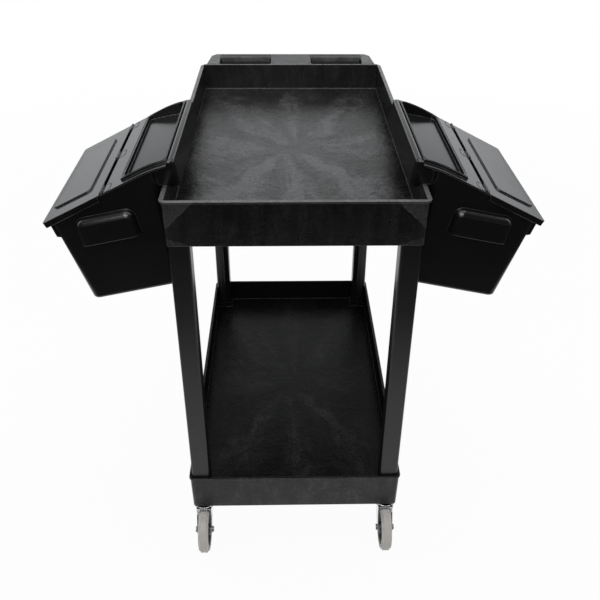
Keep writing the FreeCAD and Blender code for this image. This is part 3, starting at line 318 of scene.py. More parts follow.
def build_moulded_grain():
    """Pebbled skin of moulded plastic: cell distances with a fine noise over them, four parts to six."""
    graph, given, made = new_group("moulded_grain", (("Place", VECTOR), ("Scale", NUMBER)), (("Height", NUMBER),))
    cells = graph.add("TexVoronoi", {"Vector": given["Place"], "Scale": given["Scale"]}).outputs["Distance"]
    fine = graph.noise(given["Place"], graph.times(given["Scale"], 2.3), 3.0, 0.6)
    graph.feed(made["Height"], graph.line(fine, 0.6, graph.times(cells, 0.4)))


# Its mask paints edge wear, and on the tubs and bins partly painted highlights.
def build_edge_wear_and_highlight():
    """Rounded edges and a mask that is high where the rounded normal leaves the face's own, in patches."""
    graph, given, made = new_group("worn_edges", (("Place", VECTOR), ("Radius", NUMBER)),
                                   (("Mask", NUMBER), ("Normal", VECTOR)))
    rounded = graph.add("Bevel", {"Radius": given["Radius"]}, samples=6).outputs["Normal"]
    face = graph.add("NewGeometry").outputs["Normal"]
    edge = graph.step(graph.vector("DOT_PRODUCT", rounded, face), 0.99, 0.8)
    patches = graph.step(graph.noise(given["Place"], 38.0, 4.0, 0.65), 0.34, 0.6, 0.35, 1.0)
    graph.feed(made["Mask"], graph.times(edge, patches))
    graph.feed(made["Normal"], rounded)


def build_scuffs():
    """Fine rubbed lines: two noises drawn out along different ways, kept only where they peak."""
    graph, given, made = new_group("scuffs", (("Place", VECTOR),), (("Mask", NUMBER),))
    ways = (((0.4, 0.7, 0.5), (14.0, 320.0, 90.0)), ((-0.5, 0.3, -0.9), (260.0, 18.0, 70.0)))
    lines = [graph.noise(graph.mapped(given["Place"], Rotation=turn, Scale=scale), 1.0) for turn, scale in ways]
    graph.feed(made["Mask"], graph.highest(*(graph.step(line, 0.66, 0.74) for line in lines)))


def new_material(name):
    """A material with a plain shader: its graph, the shader node, the object's places and its normals."""
    material = bpy.data.materials.new(name)
    material.use_nodes = True
    material.node_tree.nodes.clear()
    graph = Graph(material.node_tree)
    shader = graph.add("BsdfPrincipled")
    graph.add("OutputMaterial", {"Surface": shader.outputs["BSDF"]})
    own = graph.add("TexCoord").outputs
    return material, graph, shader, own["Object"], own["Normal"]


def skin(graph, place, cloud, grain, edge):
    """What every finish starts from: clouds and grain at their scales, and edges worn to their radius."""
    return (graph.group("mottling", {"Place": place, "Scale": cloud})["Tone"],
            graph.group("moulded_grain", {"Place": place, "Scale": grain})["Height"],
            graph.group("worn_edges", {"Place": place, "Radius": edge}))


def finish_surface(graph, shader, tone, roughness, grain, normal, depth, specular):
    """Joins colour, roughness and a bumped normal to the shader and sets its plain values."""
    graph.feed(shader.inputs["Base Color"], tone)
    graph.feed(shader.inputs["Roughness"], roughness)
    shader.inputs["Specular IOR Level"].default_value = specular
    bump = graph.add("Bump", {"Height": grain, "Strength": 0.5, "Distance": depth, "Normal": normal})
    graph.feed(shader.inputs["Normal"], bump.outputs["Normal"])


def tub_plastic(name, rim, looks, strength, top):
    """Moulded tub: flow marks on the floor, streaked walls, and rims and edges that are paler, partly rubbed and
    partly painted highlight.

    The floor's marks fade towards its walls and its rear, partly flow and partly painted shade, and a painted
    highlight runs along the floor's foot. The upper tub also has pale facets with painted highlights on their
    creases, a pale handle, a lip paler at its top, partly wear and partly painted highlight, painted light from
    above in the hand slots with painted shade at their bottom, and a matt gripping bar; the lower one has stains
    on its outer walls, and its floor marks and rims are dimmed as painted shade under the upper tub.
    """
    colours, sizes = looks.colours, looks.sizes
    material, graph, shader, place, normal = new_material(name)
    floor, middle = rim - sizes.tub_depth, sizes.tub_half - sizes.rim_front
    well = (sizes.rim_half - sizes.rim_wall, sizes.tub_half - sizes.rim_wall)
    cloud, grain, wear = skin(graph, place, cloud=9.0, grain=700.0, edge=1.6 * MM)
    blotch = graph.group("mottling", {"Place": place, "Scale": 28.0})["Tone"]
    speckle = graph.noise(place, 260.0, 3.0, 0.7)
    specks = graph.step(speckle, 0.36, 0.64, 0.5, 1.5)
    x, y, z = graph.split(place)
    sideways, ahead, up = graph.split(normal)
    beyond = graph.math("SUBTRACT", y, middle)
    aside, along = graph.math("ABSOLUTE", x), graph.math("ABSOLUTE", beyond)

    gate = graph.mapped(place, Location=(0.0, -middle / well[1], 0.0), Scale=(1 / well[0], 1 / well[1], 0.0))
    flow = graph.group("flow_marks", {"Place": gate, "Lobes": 8.0})
    # The marks fade towards the walls here and towards the rear in the last step below: partly flow, partly painted
    # shade.
    inside = graph.times(graph.step(aside, well[0], 0.15), graph.step(along, well[1], 0.30, 0.1, 1.0))
    marks = graph.times(
        graph.line(flow["Petals"], 0.82, 0.2), graph.step(flow["Streaks"], 0.38, 0.62, 0.3, 1.55),
        graph.line(inside, 0.75, 0.25), graph.step(cloud, 0.3, 0.7, 0.6, 1.35),
        graph.step(flow["Leaves"], 0.0, 1.0, 0.8, 1.22), graph.step(blotch, 0.38, 0.62, 0.6, 1.4),
        graph.step(y, -0.4, 0.36, 1.35, 0.4), specks, strength)

    upright = graph.noise(graph.mapped(place, Scale=(46.0, 46.0, 12.0)), 1.0, 5.0, 0.65, 0.5)
    walls = graph.times(graph.step(upright, 0.35, 0.8, 0.02, 0.32), specks)
    # Paler rim tops and, below, rubbed edges: partly wear and partly painted highlight.
    rims = graph.times(graph.step(z, rim - 1.6 * MM, rim - 0.4 * MM), graph.step(blotch, 0.3, 0.6, 0.2, 0.6))
    if top:
        facets, crease_highlights = pale_facets(graph, sizes, rim, place)
        bar, slot_painted_light = gripping_bar(graph, sizes, rim, place, ahead)
        rear = middle + sizes.tub_half
        handle = graph.times(graph.step(y, rear + 2 * MM, rear + 6 * MM), graph.step(up, 0.5, 0.8),
                             graph.step(aside, 0.12, 0.19, 0.15, 0.5))
        # The hand slots' far face is made paler by painted light from above.
        walls = graph.line(graph.math("ADD", facets, handle), specks, graph.line(slot_painted_light, 0.7, walls))
        outside = graph.highest(graph.math("GREATER_THAN", aside, sizes.rim_half + 0.3 * MM),
                                graph.math("GREATER_THAN", along, sizes.tub_half + 0.3 * MM))
        # The lip is paler at its top: partly wear and partly painted highlight.
        lip = graph.times(graph.step(z, rim - sizes.lip_height, rim - MM, 0.0, 0.16), outside)
        rims = graph.highest(graph.times(rims, graph.step(bar, 0.0, 1.0, 1.0, 0.05)),
                             graph.times(slot_painted_light, graph.step(blotch, 0.35, 0.65, 0.0, 0.55)),
                             graph.times(graph.highest(lip, crease_highlights), specks))
    else:
        # The lower tub's rims are barely paler: painted shade under the upper tub.
        rims = graph.times(rims, 0.15)
        outward = graph.math("GREATER_THAN", graph.line(ahead, beyond, graph.times(sideways, x)), 0.0)
        walls = graph.times(walls, graph.step(blotch, 0.36, 0.66, 0.2, 3.4), outward)

    level = graph.times(graph.step(up, 0.6, 0.9), graph.step(z, floor + 4 * MM, floor + 2 * MM))
    tone = graph.blend(graph.between(level, walls, marks), colours.cart_dark, colours.cart_pale)
    foot = graph.math("ABSOLUTE", graph.math("SUBTRACT", z, floor + 1.4 * MM))
    # A pale line along the floor's foot: painted highlight of the fillet between floor and walls.
    floor_fillet_highlight = graph.times(graph.step(foot, 1.4 * MM, 0.6 * MM), graph.step(blotch, 0.35, 0.65, 0.3, 0.7),
                        graph.math("LESS_THAN", aside, well[0] + MM), graph.math("LESS_THAN", along, well[1] + MM))
    # Rubbed wear together with the painted highlights and the slots' painted light, all in the edge colour.
    rubbed = graph.highest(rims, floor_fillet_highlight, graph.times(wear["Mask"], 0.6))
    tone = graph.blend(rubbed, tone, colours.cart_wear_and_painted_light)
    smooth = graph.line(speckle, 0.16, graph.line(cloud, 0.3, colours.cart_gloss - 0.32))
    roughness = graph.between(level, graph.line(cloud, 0.2, colours.cart_gloss - 0.18), smooth)
    if top:
        roughness = graph.highest(roughness, graph.times(bar, 0.8))
    swell = graph.add("Bump", {"Height": blotch, "Strength": 0.5, "Distance": 3 * MM, "Normal": wear["Normal"]})
    finish_surface(graph, shader, tone, roughness, grain, swell.outputs["Normal"],
                   depth=0.12 * MM, specular=0.5 if top else 0.29)
    return material


def pale_facets(graph, sizes, rim, place):
    """How pale the front wall is where the melt met, and painted highlights along its facets' diagonal edges.

    Pale are the two upper corners, triangles that fall from the rim's ends along a wavering line, and below them
    two low toes.
    """
    x, y, z = graph.split(place)
    ends = graph.math("SUBTRACT", graph.math("ABSOLUTE", x), sizes.rim_half - sizes.facet)
    drop = graph.math("SUBTRACT", rim, z)
    waver = graph.line(graph.noise(place, 60.0, 3.0), 8 * MM, -4 * MM)
    cut = graph.math("ADD", graph.math("SUBTRACT", ends, drop), waver)
    pale = graph.times(graph.step(cut, 0.0, 2 * MM), graph.step(cut, 70 * MM, 0.0, 0.5, 1.0))
    toe = graph.math("ADD", graph.line(ends, 0.34, waver), graph.math("SUBTRACT", drop, sizes.toe_drop))
    pale = graph.highest(pale, graph.step(toe, 0.0, 3 * MM, 0.0, 0.45))
    front = graph.step(y, 6 * MM - sizes.rim_front, 3 * MM - sizes.rim_front)
    # Painted highlight along each facet's diagonal edge.
    edge = graph.step(graph.math("ABSOLUTE", cut), 2.2 * MM, 0.6 * MM, 0.0, 0.35)
    return graph.times(pale, front), graph.times(edge, graph.math("GREATER_THAN", ends, 0.0), front)


def gripping_bar(graph, sizes, rim, place, ahead):
    """The handle's bar behind the two hand slots, apart from its rear face, and painted light from above on what of
    it shows in the slots, with painted shade at their bottom.
    """
    x, y, z = graph.split(place)
    aside = graph.math("ABSOLUTE", x)
    bar = graph.times(graph.step(aside, sizes.slot_inner - 2 * MM, sizes.slot_inner),
                      graph.step(aside, sizes.slot_outer + 2 * MM, sizes.slot_outer),
                      graph.math("GREATER_THAN", y, sizes.bar_near - 3 * MM), graph.step(ahead, 0.6, 0.1))
    # The slots' far face: painted light from above, fading to painted shade at the slots' bottom.
    return bar, graph.times(bar, graph.step(ahead, -0.3, -0.8), graph.step(z, rim - 14 * MM, rim - 6 * MM))


def leg_plastic(name, colours, rough):
    """Smooth extruded-looking plastic with faint upright streaks, scuffs and rubbed corners, darker higher up as
    painted shade under the upper tub.
    """
    material, graph, shader, place, _ = new_material(name)
    cloud, grain, wear = skin(graph, place, cloud=7.0, grain=900.0, edge=1.4 * MM)
    streak = graph.noise(graph.mapped(place, Scale=(90.0, 90.0, 3.0)), 1.0, 4.0, 0.6)
    scuff = graph.group("scuffs", {"Place": place})["Mask"]
    # Pale streaks fade higher up: painted shade under the upper tub.
    streaks_and_painted_shade = graph.times(graph.step(streak, 0.3, 0.75, 0.01, 0.1), graph.step(cloud, 0.3, 0.7, 0.5, 1.2),
                         graph.step(graph.split(place)[2], 0.3, 0.8, 1.0, 0.3))
    tone = graph.blend(streaks_and_painted_shade, colours.leg_dark, colours.cart_pale)
    rubbed = graph.highest(graph.times(wear["Mask"], 0.35), graph.times(scuff, 0.06))
    tone = graph.blend(rubbed, tone, colours.cart_wear_and_painted_light)
    finish_surface(graph, shader, tone, graph.line(cloud, 0.18, rough), grain, wear["Normal"],
                   depth=0.1 * MM, specular=0.45)
    return material


def bin_plastic(name, colours, rough):
    """Satin black bin plastic with a fine skin, a few scuffs and edges that catch the light, painted paler, partly
    wear and partly painted highlight.
    """
    material, graph, shader, place, _ = new_material(name)
    cloud, grain, wear = skin(graph, place, cloud=5.0, grain=1100.0, edge=2 * MM)
    scuff = graph.group("scuffs", {"Place": place})["Mask"]
    tone = graph.blend(graph.step(cloud, 0.3, 0.7, 0.02, 0.06), colours.bin_black, colours.cart_pale)
    # Pale edges: partly wear and partly painted highlight.
    rubbed = graph.highest(graph.times(wear["Mask"], 0.5), graph.times(scuff, 0.02))
    tone = graph.blend(rubbed, tone, colours.bin_wear_and_highlight)
    roughness = graph.line(cloud, 0.1, rough - 0.05)
    finish_surface(graph, shader, tone, roughness, grain, wear["Normal"],
                   depth=0.02 * MM, specular=0.5)
    return material


def zinc_plate(name, colours, rough):
    """Bright plated steel: a spangled tone, faint drawing lines and smoother, brighter edges."""
    material, graph, shader, place, _ = new_material(name)
    cloud, grain, wear = skin(graph, place, cloud=45.0, grain=1500.0, edge=0.6 * MM)
    lines = graph.noise(graph.mapped(place, Scale=(900.0, 260.0, 60.0)), 1.0, 3.0)
    warm = tuple(value * part for value, part in zip(colours.zinc, (0.86, 0.84, 0.80)))
    tone = graph.blend(graph.step(cloud, 0.3, 0.7), warm, colours.zinc)
    tone = graph.blend(graph.times(wear["Mask"], 0.5), tone, colours.zinc_edge)
    shader.inputs["Metallic"].default_value = 1.0
    finish_surface(graph, shader, tone, graph.line(lines, 0.16, rough), grain, wear["Normal"],
                   depth=0.08 * MM, specular=0.5)
    return material


def tread_rubber(name, colours):
    """Grey rubber: the running face is darker, the sides keep the moulded tone."""
    material, graph, shader, place, normal = new_material(name)
    cloud, grain, wear = skin(graph, place, cloud=40.0, grain=1300.0, edge=1.2 * MM)
    side = graph.math("ABSOLUTE", graph.split(normal)[0])
    face = graph.times(graph.step(side, 0.45, 0.05), graph.step(cloud, 0.25, 0.7, 0.45, 1.0))
    tone = graph.blend(face, colours.tread, colours.tread_face)
    finish_surface(graph, shader, tone, graph.line(cloud, 0.2, 0.5), grain, wear["Normal"],
                   depth=0.2 * MM, specular=0.4)
    return material


def hard_plastic(name, pale, colours):
    """Hard moulded plastic of the wheel centres, the inserts in the legs' feet and the handle's plate."""
    material, graph, shader, place, _ = new_material(name)
    cloud, grain, wear = skin(graph, place, cloud=30.0, grain=1200.0, edge=0.8 * MM)
    dark = tuple(value * 0.6 for value in pale)
    tone = graph.blend(graph.step(cloud, 0.3, 0.7), dark, pale)
    tone = graph.blend(graph.times(wear["Mask"], 0.4), tone, colours.cart_wear_and_painted_light)
    finish_surface(graph, shader, tone, graph.line(cloud, 0.2, 0.38), grain, wear["Normal"],
                   depth=0.2 * MM, specular=0.45)
    return material


def dress(material, *starts):
    """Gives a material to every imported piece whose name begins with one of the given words."""
    names = [name for name in frame["nodes"] if name.startswith(starts)]
    if not names:
        raise RuntimeError(f"no packed piece begins with {starts}")
    for name in names:
        mesh = frame["nodes"][name].data
        mesh.materials.clear()
        mesh.materials.append(material)


# Surfaces


def grid_mesh(name, points, around_rows, around_columns):
    """Mesh of a grid of points, rows by columns by three, joined into quads; it may close on itself."""
    rows, columns = points.shape[:2]
    index = np.arange(rows * columns).reshape(rows, columns)
    if around_rows:
        index = np.vstack([index, index[:1]])
    if around_columns:
        index = np.hstack([index, index[:, :1]])
    quads = np.stack([index[:-1, :-1], index[1:, :-1], index[1:, 1:], index[:-1, 1:]], axis=-1).reshape(-1, 4)
    mesh = bpy.data.meshes.new(name)
    mesh.from_pydata(points.reshape(-1, 3).tolist(), [], quads.tolist())
    work = bmesh.new()
    work.from_mesh(mesh)
    bmesh.ops.remove_doubles(work, verts=work.verts, dist=1e-7)
    bmesh.ops.dissolve_degenerate(work, edges=work.edges, dist=1e-7)
    bmesh.ops.recalc_face_normals(work, faces=work.faces)
    work.to_mesh(mesh)
    work.free()
    mesh.polygons.foreach_set("use_smooth", np.ones(len(mesh.polygons), dtype=bool))
    return mesh


def joined(name, meshes):
    """One mesh from several, in order."""
    work = bmesh.new()
    for mesh in meshes:
        work.from_mesh(mesh)
    whole = bpy.data.meshes.new(name)
    work.to_mesh(whole)
    work.free()
    for mesh in meshes:
        bpy.data.meshes.remove(mesh)
    return whole


def carried_profile(path, up, wide, high, closed, columns=16):
    """Rounded line: an ellipse of half width wide and height high, carried along a path of points.

    Each path point has its tangent from its neighbours and its up direction; across is tangent x up. The
    surface is path + across * wide * cos(a) + up * high * sin(a). An open line tapers to a point at both
    ends, over four steps, by the square root of the distance to its end.
    """
    if closed:
        tangent = np.roll(path, -1, axis=0) - np.roll(path, 1, axis=0)
        size = np.ones(len(path))
    else:
        tangent = np.gradient(path, axis=0)
        reach = np.minimum(np.arange(len(path)), np.arange(len(path))[::-1])
        size = np.sqrt(np.clip(reach / 4.0, 0.0, 1.0))
    across = np.cross(tangent, up)
    across /= np.linalg.norm(across, axis=1, keepdims=True)
    turn = np.linspace(0.0, 2.0 * np.pi, columns, endpoint=False)
    size = size[:, None, None]
    sideways = wide * np.cos(turn)[None, :, None] * size * across[:, None, :]
    raised = high * np.sin(turn)[None, :, None] * size * up[:, None, :]
    return path[:, None, :] + sideways + raised


def bin_to_cart(points, side, sizes):
    """Places in a bin's own frame (out from the rim, along, up from the rim) to the cart's frame."""
    out, along, up = points[..., 0], points[..., 1], points[..., 2]
    cos, sin = math.cos(sizes.bin_tilt), math.sin(sizes.bin_tilt)
    x = sizes.rim_half + out * cos + up * sin
    z = sizes.rim_height - out * sin + up * cos
    return np.stack([side * x, along, z], axis=-1)


def cover_line(out, sizes):
    """Height of the cover's top and its slope, for distances out from the rim.

    From the hinge it rises straight at the lid's slope as far as the bend; from there to the hook it is an
    arc of the bend's radius through both ends.
    """
    rise = math.tan(sizes.lid_slope)
    straight = sizes.hinge_up + (sizes.hinge_out - out) * rise
    bend = np.array([sizes.bend_out, sizes.hinge_up + (sizes.hinge_out - sizes.bend_out) * rise])
    end = np.array([-sizes.cover_end, sizes.cover_top])
    chord = end - bend
    span = np.linalg.norm(chord)
    inward = np.array([chord[1], -chord[0]]) / span
    inward *= -np.sign(inward[1])
    centre = (bend + end) / 2 + inward * math.sqrt(sizes.bend_radius ** 2 - (span / 2) ** 2)
    arc = centre[1] + np.sqrt(sizes.bend_radius ** 2 - (out - centre[0]) ** 2)
    curved = out < sizes.bend_out
    slope = np.where(curved, -(out - centre[0]) / (arc - centre[1]), -rise)
    return np.where(curved, arc, straight), slope


def rounded_loop(low, high, half, corner, steps):
    """Points round a rectangle with round corners: four quarter circles, each followed by its straight run."""
    centres = np.array([[high - corner, half - corner], [low + corner, half - corner],
                        [low + corner, corner - half], [high - corner, corner - half]])
    quarter = np.linspace(0.0, np.pi / 2, steps)
    turns = (np.arange(4)[:, None] * np.pi / 2 + quarter[None, :])[..., None]
    arcs = centres[:, None, :] + corner * np.concatenate([np.cos(turns), np.sin(turns)], axis=-1)
    ends = np.roll(arcs[:, :1], -1, axis=0)
    share_out = np.linspace(0.0, 1.0, 2 * steps + 1)[1:-1][None, :, None]
    runs = arcs[:, -1:] + (ends - arcs[:, -1:]) * share_out
    return np.concatenate([arcs, runs], axis=1).reshape(-1, 2)


def tray_bead(side, sizes, middle):
    """Bead on the frame round the tray: a rounded profile carried round the tray's opening.

    The loop stands off the tray's edges by the frame's middle; its height is the cover's own curve, raised
    square to it by the frame's height.
    """
    loop = rounded_loop(-sizes.tray_inner - sizes.frame_inner, sizes.tray_out + sizes.frame_mid,
                        sizes.tray_half + sizes.frame_mid, sizes.tray_corner + sizes.frame_mid, 12)
    top, slope = cover_line(loop[:, 0], sizes)
    lean = np.stack([-slope, np.zeros_like(slope), np.ones_like(slope)], axis=-1)
    lean /= np.linalg.norm(lean, axis=1, keepdims=True)
    crest = np.stack([loop[:, 0], loop[:, 1] + middle, top], axis=-1) + lean * sizes.frame_up
    base = bin_to_cart(np.zeros((1, 3)), side, sizes)
    up = bin_to_cart(lean, side, sizes) - base
    return carried_profile(bin_to_cart(crest, side, sizes), up, sizes.bead_wide, sizes.bead_high, True)


def hinge_tab(side, sizes, hinge, offset):
    """Raised outline of a hinge tab: half of a squarish oval on the strip, open towards the hinge.

    The oval's angle a runs over half a turn: along is the half length times the square root of |cos a|, with
    its sign, and the reach from the hinge is the start plus the depth times the square root of sin a.
    """
    turn = np.linspace(0.0, np.pi, 49)
    along = sizes.tab_long * np.sign(np.cos(turn)) * np.sqrt(np.abs(np.cos(turn)))
    reach = sizes.tab_start + sizes.tab_deep * np.sqrt(np.clip(np.sin(turn), 0.0, 1.0))
    lean = sizes.bin_tilt + sizes.lid_slope
    x = hinge[0] - side * reach * math.cos(lean)
    z = hinge[2] + reach * math.sin(lean)
    path = np.stack([x, hinge[1] + offset + along, z], axis=-1)
    up = np.tile([side * math.sin(lean), 0.0, math.cos(lean)], (len(path), 1))
    return carried_profile(path, up, sizes.tab_wide, sizes.tab_high, False, 10)


def handle_plate(sizes):
    """Thin plate on the tilted handle: a squarish oval of the eighth power, drawn in to a point on both faces.

    The profile goes from the crown's middle out to the edge, over a small round and down to the underside:
    a share of the oval's half sizes for each row, with that row's height. Depth and height are turned about
    the X axis by the handle's tilt.
    """
    share_out = np.array([0.0, 0.3, 0.6, 0.85, 0.965, 0.985, 0.995, 1.0, 1.0, 0.9, 0.0])[:, None]
    height = np.array([1.0, 1.0, 1.0, 1.0, 1.0, 0.95, 0.82, 0.6, 0.0, 0.0, 0.0])[:, None] * sizes.plate_thick
    turn = np.linspace(0.0, 2.0 * np.pi, 128, endpoint=False)
    x = share_out * sizes.plate_long * np.sign(np.cos(turn)) * np.abs(np.cos(turn)) ** 0.25
    depth = share_out * sizes.plate_deep * np.sign(np.sin(turn)) * np.abs(np.sin(turn)) ** 0.25
    cos, sin = math.cos(sizes.handle_tilt), math.sin(sizes.handle_tilt)
    return np.array(sizes.plate_middle) + np.stack([x, depth * cos - height * sin, depth * sin + height * cos],
                                                   axis=-1)


def add_piece(name, mesh, body, material):
    """Puts a finished mesh into the scene at the origin, on its body."""
    piece = bpy.data.objects.new(name, mesh)
    bpy.context.scene.collection.objects.link(piece)
    mesh.materials.append(material)
    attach(piece, body)


# Operators


class LooksOperator:
    """What every operator here shares: the scene's own settings."""
    bl_options = {"REGISTER", "UNDO"}

    @property
    def looks(self):
        return bpy.context.scene.shelf_cart


class CART_OT_shared_effects(LooksOperator, bpy.types.Operator):
    """Builds the shader groups that several finishes use"""
    bl_idname = "cart.shared_effects"
    bl_label = "Shared effects"

    def execute(self, context):
        for build in (build_flow_marks, build_mottling, build_moulded_grain, build_edge_wear_and_highlight, build_scuffs):
            build()
        return {"FINISHED"}


class CART_OT_tubs(LooksOperator, bpy.types.Operator):
    """Finishes the two tubs in mottled moulded plastic"""
    bl_idname = "cart.tubs"
    bl_label = "Tubs"

    def execute(self, context):
        sizes = self.looks.sizes
        upper = tub_plastic("upper_tub_plastic", sizes.rim_height, self.looks, strength=1.0, top=True)
        # The lower tub keeps a fifth of the floor marks' paleness: painted shade under the upper tub.
        lower = tub_plastic("lower_tub_plastic", sizes.low_rim_height, self.looks, strength=0.2, top=False)
        dress(upper, "top_tub")
        dress(lower, "low_tub")
        return {"FINISHED"}


class CART_OT_legs(LooksOperator, bpy.types.Operator):
    """Finishes the four legs and the inserts in their feet"""
    bl_idname = "cart.legs"
    bl_label = "Legs"

    def execute(self, context):
        colours = self.looks.colours
        dress(leg_plastic("leg_plastic", colours, rough=colours.cart_gloss - 0.12), "leg_")
        dress(hard_plastic("insert_plastic", colours.insert, colours), "caster_insert_")
        return {"FINISHED"}


class CART_OT_casters(LooksOperator, bpy.types.Operator):
    """Finishes forks, stems, bolts, brakes and wheels"""
    bl_idname = "cart.casters"
    bl_label = "Casters"

    def execute(self, context):
        colours = self.looks.colours
        dress(zinc_plate("zinc_sheet", colours, rough=0.1), "caster_fork_", "brake_lever_")
        turned = zinc_plate("zinc_turned", colours, rough=0.08)
        dress(turned, "caster_stem_", "axle_", "bearing_balls_", "brake_pin_")
        dress(tread_rubber("tread_rubber", colours), "tyre_")
        dress(hard_plastic("wheel_centre_plastic", colours.wheel, colours), "wheel_centre_")
        return {"FINISHED"}


class CART_OT_bins(LooksOperator, bpy.types.Operator):
    """Finishes the bins, their covers, lids and hinge pins"""
    bl_idname = "cart.bins"
    bl_label = "Bins"

    def execute(self, context):
        colours = self.looks.colours
        dress(bin_plastic("bin_wall_plastic", colours, rough=colours.bin_gloss + 0.02), "bin_body_")
        dress(bin_plastic("bin_lid_plastic", colours, rough=colours.bin_gloss), "bin_cover_", "bin_lid_")
        dress(zinc_plate("hinge_pin_steel", colours, rough=0.2), "hinge_pins_")
        return {"FINISHED"}


class CART_OT_tray_beads(LooksOperator, bpy.types.Operator):
    """Adds the rounded bead round each bin's tray"""
    bl_idname = "cart.tray_beads"
    bl_label = "Tray beads"

    def execute(self, context):
        material = bpy.data.materials["bin_lid_plastic"]
        for name, side in SIDES.items():
            middle = HINGES["lid_" + name][1]
            mesh = grid_mesh("tray_bead_" + name, tray_bead(side, self.looks.sizes, middle), True, True)
            add_piece("tray_bead_" + name, mesh, "bin_" + name, material)
        return {"FINISHED"}


class CART_OT_hinge_tabs(LooksOperator, bpy.types.Operator):
    """Adds the raised outlines beside the lid hinges"""
    bl_idname = "cart.hinge_tabs"
    bl_label = "Hinge tabs"

    def execute(self, context):
        sizes = self.looks.sizes
        material = bpy.data.materials["bin_lid_plastic"]
        for name, side in SIDES.items():
            hinge = HINGES["lid_" + name]
            offsets = (-sizes.tab_spread / 2, 0.0, sizes.tab_spread / 2)
            tabs = [grid_mesh("tab", hinge_tab(side, sizes, hinge, offset), False, True) for offset in offsets]
            mesh = joined("hinge_tabs_" + name, tabs)
            add_piece("hinge_tabs_" + name, mesh, "bin_" + name, material)
        return {"FINISHED"}


class CART_OT_handle_plate(LooksOperator, bpy.types.Operator):
    """Adds the smooth bare plate between the hand slots"""
    bl_idname = "cart.handle_plate"
    bl_label = "Handle plate"

    def execute(self, context):
        colours, sizes = self.looks.colours, self.looks.sizes
        material = hard_plastic("handle_plate_plastic", colours.plate_grey, colours)
        mesh = grid_mesh("handle_plate", handle_plate(sizes), False, True)
        add_piece("handle_plate", mesh, "cart", material)
        return {"FINISHED"}


